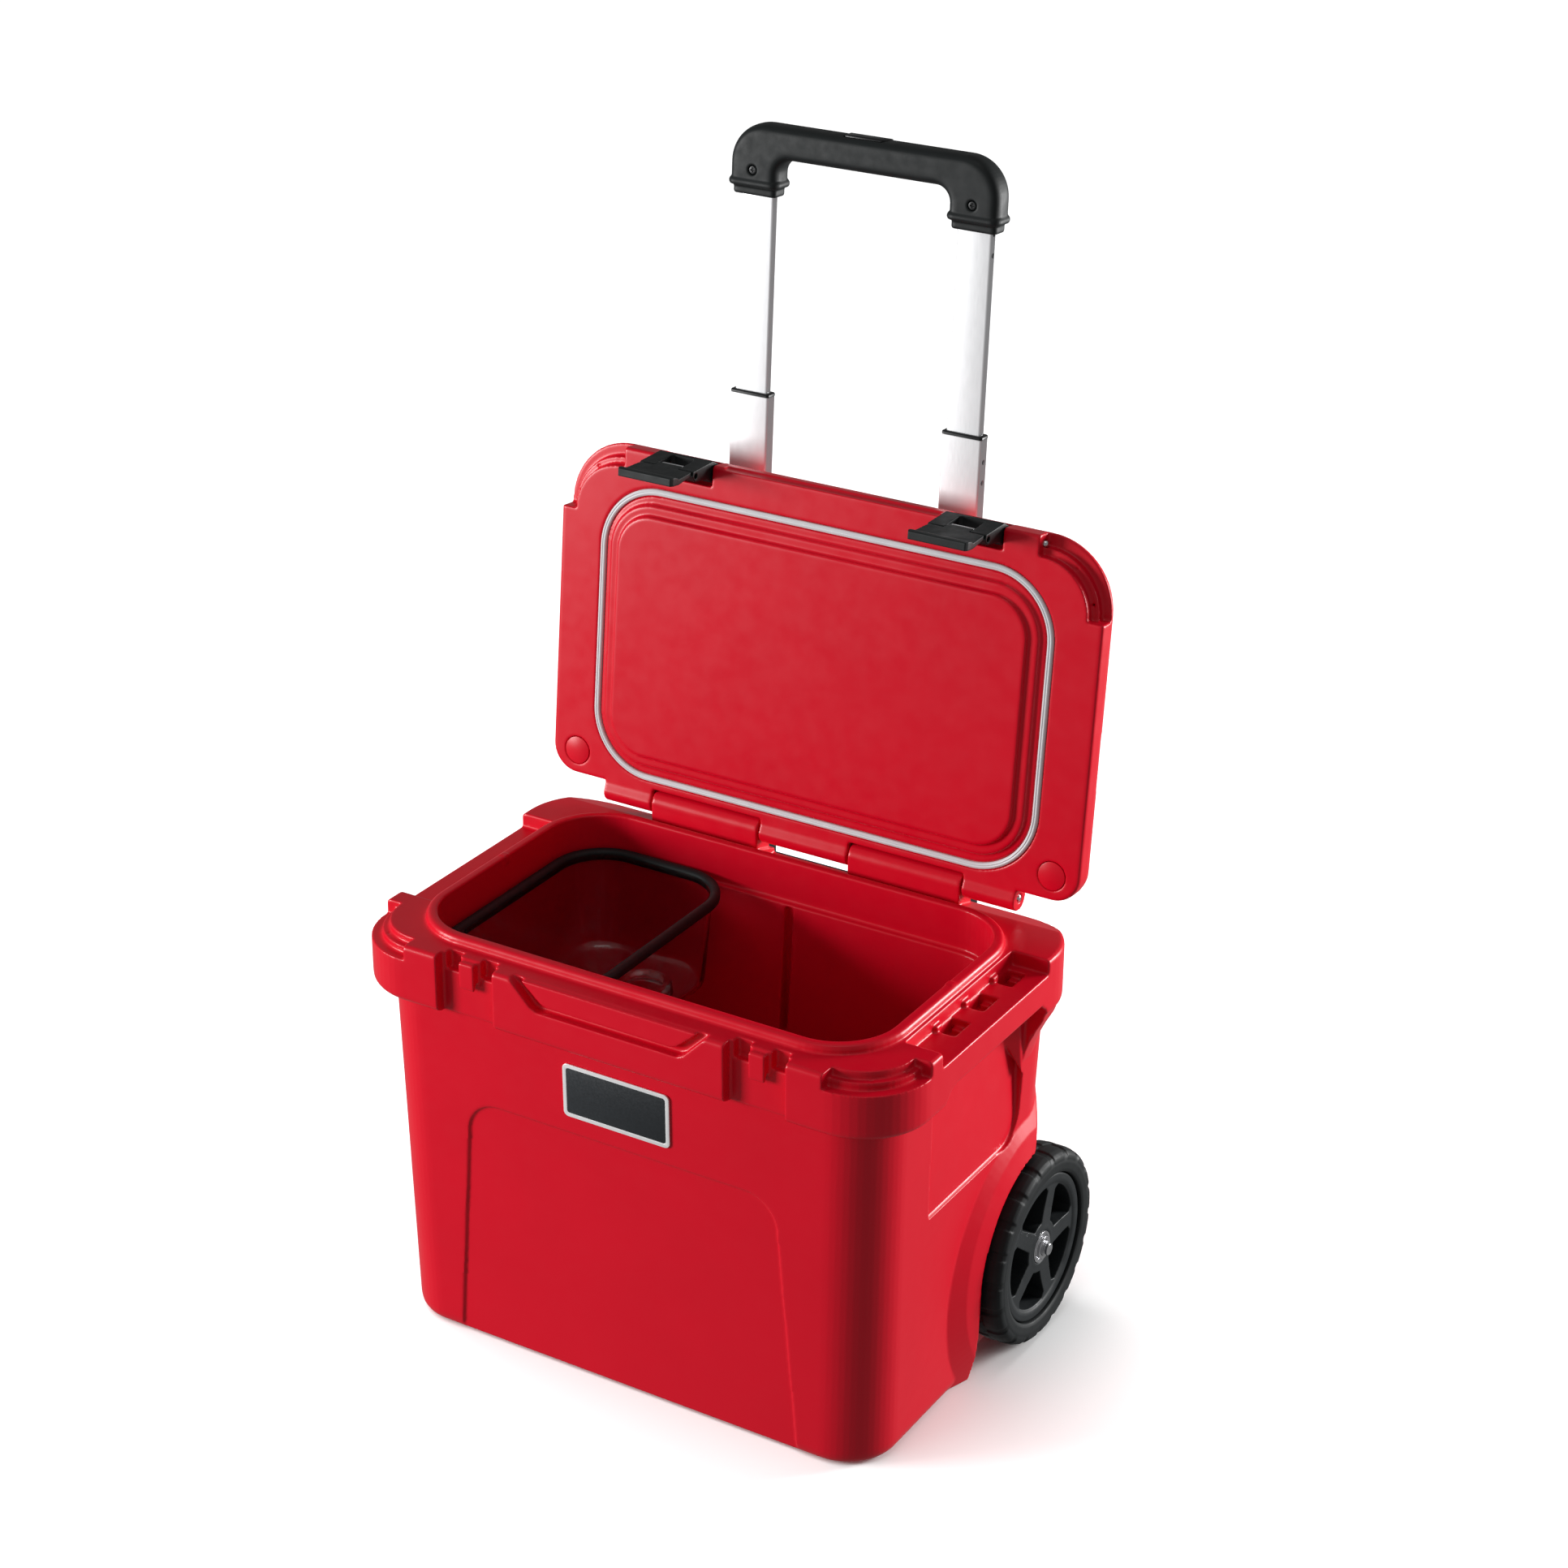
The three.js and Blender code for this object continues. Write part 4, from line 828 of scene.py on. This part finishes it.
strap_mesh, tab_mesh = latch_body(), latch_tab()
pin_mesh = long_rod(WINDOW_HALF - 0.3, LATCH_PIN_Y, LATCH_PIN_Z, LATCH_PIN_RADIUS)
for name, sign in SIDES:
    spot = LID_TURN @ Matrix.Translation((sign * LATCH_X, 0, 0))
    piece(f"latch_strap_{name}", strap_mesh, f"latch_{name}", RUBBER,
          [f"latch_body_{name}"], spot)
    piece(f"latch_pull_{name}", tab_mesh, f"tab_{name}", RUBBER, [f"latch_tab_{name}"], spot)
    piece(f"latch_cross_pin_{name}", pin_mesh, f"latch_{name}", STEEL, [f"latch_pin_{name}"], spot)


# ------------------------------------------------------------------ handle, drawn upright
def flat_tube(width, depth, bottom, top):
    """A hollow rectangular tube, its ends closed by the wall's own thickness."""
    outer = centred(width / 2, depth / 2, TUBE_CORNER, 6)
    profile = [(0.3, top), (0, top - 0.4), (0, bottom + 0.4), (0.3, bottom), (TUBE_WALL, bottom),
               (TUBE_WALL, top)]
    return stack(inset_rings(outer, profile), closed=True)


def drilled(tube, edge, top):
    """A moving stage's tube with two holes through its outer side, at x = edge."""
    holes = [rod_x(edge - 3, edge + 3, 0, top - HOLE_DROP - gap, HOLE_RADIUS, 24) for gap in (0, HOLE_STEP)]
    return carved(tube, cuts=holes)


def collar(width, depth, top, next_width, next_depth):
    """A ring on a tube's top edge that guides the tube sliding inside it."""
    outer = centred(width / 2 + 0.4, depth / 2 + 0.4, 2.8, 6)
    inner = centred(next_width / 2 + 0.3, next_depth / 2 + 0.3, TUBE_CORNER, 6)
    guide = centred(width / 2 - 2, depth / 2 - 2, 1, 6)
    lip = [(inset, top + 0.3 + z) for inset, z in ((0, 0), (0, 1.7), (0.35, 2.6), (1.1, 3.0))]
    rings = inset_rings(outer, lip)
    rings += [[(x, y, top + z) for x, y in inner] for z in (3.2, -14)]
    rings += [[(x, y, top + z) for x, y in guide] for z in (-14, 0.3)]
    return smooth_edges(stack(rings, closed=True), 50)


for level, (stage, width, depth, bottom, top) in enumerate(STAGES):
    for name, sign in SIDES:
        spot = HANDLE_TURN @ Matrix.Translation((sign * TUBE_X, 0, 0))
        tube = flat_tube(width, depth, bottom, top)
        if stage != "sleeve":
            tube = drilled(tube, sign * width / 2, top)
        piece(f"{stage}_tube_{name}", smooth_edges(tube), STAGE_BODY[stage], ALUMINIUM,
              [f"{stage}_{name}"], spot)
        if level + 1 < len(STAGES):
            ring = collar(width, depth, top, *STAGES[level + 1][1:3])
            piece(f"{stage}_collar_ring_{name}", ring, STAGE_BODY[stage], BLACK,
                  [f"{stage}_collar_{name}"], spot)

GRIP_OUT, GRIP_IN, GRIP_TOP, GRIP_UNDER = 142.7, 90.3, 687.5, 655.6
LEG_BOTTOM, COLLAR_BOTTOM, GRIP_HALF_DEPTH = 630, 619.1, 14.25


def grip_outline(inset):
    right = [(GRIP_IN + inset, LEG_BOTTOM), (GRIP_OUT - inset, LEG_BOTTOM),
             *arc(GRIP_OUT - 38, GRIP_TOP - 38, 38 - inset, 0, 90, 16)]
    inside = arc(GRIP_IN - 14, GRIP_UNDER - 14, 14 + inset, 90, 0, 10)
    return [*right, *mirrored(right), *mirrored(inside), *inside]


def grip():
    """Round-edged bar and legs, a ring bump and a collar on each leg, and the button's pocket."""
    rings = []
    for k in range(17):
        angle = math.pi * (k / 16 - 0.5)
        depth = GRIP_HALF_DEPTH * math.copysign(abs(math.sin(angle)) ** 0.72, angle)
        inset = 10.5 * (1 - max(0.0, math.cos(angle)) ** 0.72)
        rings.append([(x, depth, z) for x, z in grip_outline(inset)])
    bar = stack(rings)
    solids, cuts = [], []
    for side in (1, -1):
        x = side * (TUBE_X + 0.8)
        bump = rounded(x - 27.8, x + 27.8, -15.8, 15.8, 9, 8)
        solids.append(tapered(bump, [(4, LEG_BOTTOM - 3), (1, LEG_BOTTOM - 2), (0, LEG_BOTTOM),
                                     (0, LEG_BOTTOM + 2), (1, LEG_BOTTOM + 4), (4, LEG_BOTTOM + 6)]))
        leg = rounded(x - 23.7, x + 23.7, -10.5, 10.5, 5, 8)
        solids.append(tapered(leg, [(1.2, COLLAR_BOTTOM), (0, COLLAR_BOTTOM + 1.5), (0, LEG_BOTTOM + 10)]))
        tube = rounded(side * TUBE_X - 18.3, side * TUBE_X + 18.3, -4.55, 4.55, 2.4, 4)
        cuts.append(prism_z(tube, COLLAR_BOTTOM - 5, 640.4))
        cuts.append(rod_y(side * (TUBE_X + 0.6), 643.5, -30, -9.2, 4.7))
    pocket = [(-24, -7.3), (17.5, -7.3), (24, 6.3), (-24, 6.3)]
    cuts.append(prism_z(pocket, GRIP_TOP - 14, GRIP_TOP + 10))
    whole = carved(bar, adds=solids, cuts=cuts)
    return skinned([whole], 0.9, 5)


def grip_screw():
    """Pan head with a cross recess, facing -Y."""
    head = edged(rod_y(0, 0, -13.3, -9.3, 4.1, 40), 0.8)
    cross = [box(-2.4, 2.4, -16, -11.9, -0.55, 0.55), box(-0.55, 0.55, -16, -11.9, -2.4, 2.4)]
    return smooth_edges(carved(head, cuts=cross), 30)


piece("grip_moulded", grip(), "handle_top", RUBBER, ["grip"], HANDLE_TURN)
button = prism_z([(-23.2, -6.6), (16.8, -6.6), (22.8, 5.6), (-23.2, 5.6)], GRIP_TOP - 9, GRIP_TOP + 1.0)
piece("release_button_cap", edged(button, 1.4), "button", BLACK, ["release_button"],
      HANDLE_TURN)
for name, sign in SIDES:
    piece(f"grip_screw_head_{name}", grip_screw(), "handle_top", BLACK, [f"grip_screw_{name}"],
          HANDLE_TURN @ Matrix.Translation((sign * (TUBE_X + 0.6), 0, 643.5)))


# ------------------------------------------------------------------ handle brackets
def bracket_plan(front, back, web):
    right = [(0, front), (152, front), (152, back - 5), (147, back), (84, back), (79, back - 5), (79, web),
             (0, web)]
    return [*right, *mirrored(right[1:-1])]


def sleeve_rooms():
    """The space that the two sleeves take up in the brackets."""
    room = prism_z(centred(27.3, 12.8, TUBE_CORNER, 4), -386, 74)
    return [moved(room, HANDLE_TURN @ Matrix.Translation((x, 0, 0))) for x in (TUBE_X, -TUBE_X)]


upper = carved(prism_z(bracket_plan(FLANGE_BACK + 0.3, 247, 210), *BRACKET_UPPER), cuts=sleeve_rooms())
ribs = [box(x - 1.5, x + 1.5, 204, 214, 372, 402) for x in (-75, 75)]
piece("bracket_upper_moulded", skinned([upper, *ribs], 1.1, 4), "tub", BLACK,
      ["bracket_upper"])
lower_front = prism_x([(150, 60), (back_at(60) + 0.3, 60), (back_at(130) + 0.3, 130), (150, 130)], -200, 200)
lower = carved(prism_z(bracket_plan(160, 229, 192), *BRACKET_LOWER), cuts=[lower_front, *sleeve_rooms()])
piece("bracket_lower_moulded", skinned([lower], 1.1, 4), "tub", BLACK, ["bracket_lower"])

bracket_head = edged(rod_y(0, 0, 0, 3, 5, 40), 0.9)
bracket_head = smooth_edges(carved(bracket_head, cuts=[prism_y(circle(0, 0, 2.3, 6), 1.2, 6)]), 30)
for row, back, z, x in BRACKET_BOLTS:
    for name, sign in SIDES:
        piece(f"bracket_bolt_{row}_{name}", bracket_head, "tub", STEEL,
              [f"bracket_screw_{row}_{name}"], Matrix.Translation((sign * x, back + 0.2, z)))


# ------------------------------------------------------------------ wheels, drawn round X
def tyre():
    """Tyre body with raised shoulder blocks and matching tread blocks between fine gaps."""
    half = (WHEEL_OUT - WHEEL_IN) / 2
    profile = [(RIM_OUT + 0.8, 2 - half), (80, 0.6 - half), (87, -half), (92, 1 - half), (95.4, 3.6 - half),
               (97.4, 8 - half), (98.2, 13 - half), (98.2, half - 13), (97.4, half - 8), (95.4, half - 3.6),
               (92, half - 1), (87, half), (80, half - 0.6), (RIM_OUT + 0.8, half - 2)]
    solids = [turned_x(profile, 160)]
    share = 2 * math.pi / TREAD_BLOCKS
    for k in range(TREAD_BLOCKS):
        for side in (1, -1):
            middle = share * (k + (0.25 if side > 0 else 0.75))
            rings = []
            for t in np.linspace(-0.36, 0.36, 7):
                angle = middle + t * share
                block = [(90.5, half - 0.9), (90.5, half - 0.1), (94.4, half - 1.0), (97.2, half - 3.7),
                         (99.0, half - 8), (99.7, half - 13), (99.7, half - 20), (95, half - 20)]
                rings.append([(side * x, r * math.cos(angle), r * math.sin(angle)) for r, x in block])
            solids.append(stack(rings))
    return skinned(solids, 1.0, 3, keep=0.5)


def hub():
    """Five spokes with closed pockets between them, a rim band, and a stepped boss."""
    profile = [(BOSS, -19), (RIM_OUT - 0.5, -19), (RIM_OUT, -18), (RIM_OUT, 16.2), (RIM_OUT - 1.2, 17.5),
               (69, 17.5), (RIM_IN + 1, 16.8), (RIM_IN - 1, 15.6), (40, 15.2), (23, 16), (19.5, 16.4),
               (16.6, 16.4), (16.6, 11.3), (8.2, 11.3), (8.2, -19)]
    step = 360 / SPOKES
    wide, narrow, corner = step / 2 - 8, step / 2 - 21, 4.5
    tip_x = math.cos(math.radians(wide)) * (RIM_IN - 7)
    tip_y = math.sin(math.radians(wide)) * (RIM_IN - 7)
    outline = [(tip_x, -tip_y), *arc(0, 0, RIM_IN - 2, -wide + corner, wide - corner, 16), (tip_x, tip_y),
               *arc(0, 0, 27, narrow, -narrow, 6)]
    pockets = []
    for i in range(SPOKES):
        turn = math.radians(90 + 18 + i * step)
        cos, sin = math.cos(turn), math.sin(turn)
        pockets.append(prism_x([(x * cos - y * sin, x * sin + y * cos) for x, y in outline], -10, 30))
    return skinned([carved(turned_x(profile, 120), cuts=pockets)], 0.8, 3, keep=0.5)


def bearing():
    """Two races with a dark groove between them."""
    profile = [(8.1, 11.4), (15.9, 11.4), (16.2, 12), (16.2, 16.3), (15.8, 16.8), (13.6, 16.8), (13.3, 16.2),
               (12.9, 15.4), (11.1, 15.4), (10.7, 16.2), (10.4, 16.8), (8.5, 16.8), (8.1, 16.3)]
    return smooth_edges(turned_x(profile, 72), 30)


def washer():
    profile = [(7.8, 17), (11.3, 17), (11.6, 17.4), (11.6, 19), (11.2, 19.5), (8.2, 19.5), (7.8, 19.1)]
    return smooth_edges(turned_x(profile, 72), 30)


def axle_rod():
    """A steel rod with a stepped, chamfered end outside each wheel."""
    end = [(5.6, 301), (6.1, 300.5), (6.1, 297.8), (AXLE_RADIUS, 297.6)]
    profile = end + [(r, -x) for r, x in reversed(end)]
    return smooth_edges(turned_rod(profile, WHEEL_Y, WHEEL_RADIUS, 48), 30)


wheel_meshes = (("tyre_tread", "tyre", "wheel_tyre", TYRE, tyre()),
                ("hub_spokes", "hub", "wheel_hub", HUB, hub()),
                ("bearing_race", "bearing", "steel", STEEL, bearing()),
                ("axle_end_washer", "axle_washer", "steel", STEEL, washer()))
for name, sign in SIDES:
    spot = (Matrix.Translation((sign * (WHEEL_IN + WHEEL_OUT) / 2, WHEEL_Y, WHEEL_RADIUS))
            @ Matrix.Diagonal((sign, 1, 1, 1)))
    for new_name, node, slot, material, mesh in wheel_meshes:
        body = "tub" if node == "axle_washer" else f"wheel_{name}"
        piece(f"{new_name}_{name}", mesh, body, material, [f"{node}_{name}"], spot)
piece("axle_rod", axle_rod(), "tub", STEEL, ["axle"])


# ------------------------------------------------------------------ basket
def basket_outline(grow, radius):
    return rounded(BASKET_LEFT + 5 - grow, BASKET_RIGHT - 5 + grow, -BASKET_HALF_Y + 5 - grow,
                   BASKET_HALF_Y - 5 + grow, radius, 16)


def basket_tub():
    """Thin clear wall with a round foot and two shallow cups pressed up from its floor."""
    path = basket_outline(0, 52)
    outer = [(34, BASKET_BOTTOM), (20, BASKET_BOTTOM), (15, BASKET_BOTTOM + 1.4), (11.5, BASKET_BOTTOM + 5),
             (10, BASKET_BOTTOM + 11), (3, 389), (3, BASKET_TOP)]
    inner = [(5.5, BASKET_TOP), (5.5, 389), (12.5, BASKET_BOTTOM + 11), (14, BASKET_BOTTOM + 7),
             (17, BASKET_BOTTOM + 3.6), (21, BASKET_BOTTOM + 2.5), (34, BASKET_BOTTOM + 2.5)]
    shell = stack(inset_rings(path, outer + inner))
    cups = []
    for x, y, radius in ((-118, 52, 30), (-118, -18, 34)):
        top = BASKET_BOTTOM + 14
        ring = [(radius, BASKET_BOTTOM + 1), (radius - 2, top - 2), (radius - 4, top), (radius - 8, top),
                (radius - 9.5, top - 1.5), (radius - 8, BASKET_BOTTOM + 1)]
        rings = [[(x + px, y + py, z) for px, py in centred(r, r, r * 0.8, 10)] for r, z in ring]
        cups.append(stack(rings, closed=True))
    return smooth_edges(shell, 60), [smooth_edges(cup, 60) for cup in cups]


def basket_rim():
    """Soft rubber lip round the basket's edge."""
    path = rounded(BASKET_LEFT, BASKET_RIGHT, -BASKET_HALF_Y, BASKET_HALF_Y, 57, 18)
    low = SHELF_TOP + 0.3
    section = [(1.5, low), (0.3, low + 1.2), (0, low + 3), (0, BASKET_TOP), (0.6, 400.2), (2.2, 401.4),
               (4.6, 401.5), (7, 401), (8.6, 400), (9.6, 398.2), (9.9, 396), (9.9, low + 2), (9, low)]
    return smooth_edges(stack(inset_rings(path, section), closed=True), 60)


clear_shell, clear_cups = basket_tub()
piece("basket_clear_tub", clear_shell, "basket", CLEAR, ["basket_tub"])
for k, cup in enumerate(clear_cups):
    piece(f"basket_cup_{k}", cup, "basket", CLEAR, [])
piece("basket_rim_lip", basket_rim(), "basket", RUBBER, ["basket_rim"])


# ------------------------------------------------------------------ badge, drain and small plugs
BADGE_TURN = Matrix.Translation((0, front_at(BADGE_Z) - 0.3, BADGE_Z)) @ Matrix.Rotation(DRAFT_FRONT, 4, "X")
badge_window = prism_y(centred(54.4, 23.9, 3, 8), -3, -0.9)
border = carved(prism_y(centred(58.5, 28, 5.5, 8), -1.7, 0), cuts=[badge_window])
piece("badge_rim_plate", edged(border, 0.45), "tub", BADGE_BORDER, ["badge_rim"], BADGE_TURN)
field = edged(prism_y(centred(54.2, 23.7, 2.8, 8), -1.45, -0.9), 0.2, 2)
piece("badge_field_plate", field, "tub", BADGE_FACE, ["badge_field"], BADGE_TURN)

drain_back = back_at(DRAIN_Z)
cap = [(15.5 if k % 3 else 14.6, math.radians(k * 10)) for k in range(36)]
cap_outline = [(r * math.cos(angle), DRAIN_Z + r * math.sin(angle)) for r, angle in cap]
stem = rod_y(0, DRAIN_Z, 130, drain_back + 4, 8.8, 40)
finger_bar = box(-2, 2, drain_back + 8, drain_back + 12, DRAIN_Z - 10, DRAIN_Z + 10)
knob = edged(prism_y(cap_outline, drain_back + 3.6, drain_back + 11), 0.7, 2)
drain = carved(knob, adds=[stem, finger_bar])
piece("drain_plug_cap", smooth_edges(drain, 35), "drain", BLACK, ["drain_plug"])
seal = [(9.4, 1.3), (13.2, 1.3), (13.5, 1.7), (13.5, 2.9), (13.2, 3.3), (9.4, 3.3)]
seal_turn = Matrix.Translation((0, drain_back, DRAIN_Z)) @ Matrix.Rotation(math.pi / 2, 4, "Z")
piece("drain_seal_ring", smooth_edges(moved(turned_x(seal, 48), seal_turn), 40), "tub",
      RUBBER, ["drain_seal"])
piece("tub_fill_disc", fill_disc(12.6, 4), "tub", RED, ["tub_fill_plug"],
      Matrix.Translation((90, 60, 0.7)))

for name in ("tub_foam", "lid_foam"):
    node = frame["nodes"][name]
    node.data.materials.clear()
    node.data.materials.append(FOAM)


# ------------------------------------------------------------------ floor and light
def stage_mesh(name, verts, faces, color, roughness):
    mesh = bpy.data.meshes.new(name)
    mesh.from_pydata(verts, [], faces)
    material = bpy.data.materials.new(name)
    material.use_nodes = True
    shader = material.node_tree.nodes["Principled BSDF"]
    shader.inputs["Base Color"].default_value = (*color, 1)
    shader.inputs["Roughness"].default_value = roughness
    mesh.materials.append(material)
    obj = bpy.data.objects.new(name, mesh)
    bpy.context.scene.collection.objects.link(obj)
    return obj


def area_light(name, at, target, size, power):
    data = bpy.data.lights.new(name, "AREA")
    data.shape = "RECTANGLE"
    data.size, data.size_y = size
    data.energy = power
    light = bpy.data.objects.new(name, data)
    direction = Vector(at) - Vector(target)
    light.matrix_world = Matrix.Translation(at) @ direction.to_track_quat("Z", "Y").to_matrix().to_4x4()
    bpy.context.scene.collection.objects.link(light)
    return light


floor = stage_mesh("floor", [(-12, -12, 0), (12, -12, 0), (12, 12, 0), (-12, 12, 0)], [(0, 1, 2, 3)],
                   (0.93, 0.93, 0.93), 0.7)
floor.visible_diffuse = False         # the pale floor catches the shadow, but doesn't wash the red with white
floor.visible_glossy = False

world = bpy.data.worlds.new("studio")
world.use_nodes = True
sky = world.node_tree
seen = sky.nodes.new("ShaderNodeBackground")
seen.inputs["Color"].default_value = (1, 1, 1, 1)
seen.inputs["Strength"].default_value = 1.0
fill = sky.nodes["Background"]
fill.inputs["Color"].default_value = (1, 1, 1, 1)
fill.inputs["Strength"].default_value = 0.24
choice = sky.nodes.new("ShaderNodeMixShader")
path = sky.nodes.new("ShaderNodeLightPath")
sky.links.new(path.outputs["Is Camera Ray"], choice.inputs["Fac"])
sky.links.new(fill.outputs["Background"], choice.inputs[1])
sky.links.new(seen.outputs["Background"], choice.inputs[2])
sky.links.new(choice.outputs["Shader"], sky.nodes["World Output"].inputs["Surface"])
bpy.context.scene.world = world
bpy.context.scene.view_settings.view_transform = "Standard"

wash_data = bpy.data.lights.new("floor_wash", "SUN")
wash_data.energy = 3.3
wash_data.angle = math.radians(70)
wash = bpy.data.objects.new("floor_wash", wash_data)
wash.rotation_euler = (math.radians(6), math.radians(-26), 0)
bpy.context.scene.collection.objects.link(wash)
floor_only = bpy.data.collections.new("floor_only")
floor_only.objects.link(floor)
wash.light_linking.receiver_collection = floor_only

area_light("key", (-2.7, -2.2, 0.9), (0, 0, 0.35), (1.2, 1.2), 128)
side_light = area_light("side", (2.1, 2.2, 0.8), (0.2, 0, 0.3), (0.9, 1.2), 125)
area_light("top", (0.3, -0.4, 3.4), (0, 0, 0.4), (1.6, 1.2), 6)
shaded = bpy.data.collections.new("shaded_from_side")
for tube in [obj for obj in bpy.data.objects if "_tube_" in obj.name]:
    shaded.objects.link(tube)
side_light.light_linking.receiver_collection = shaded
for member in shaded.collection_objects:
    member.light_linking.link_state = "EXCLUDE"
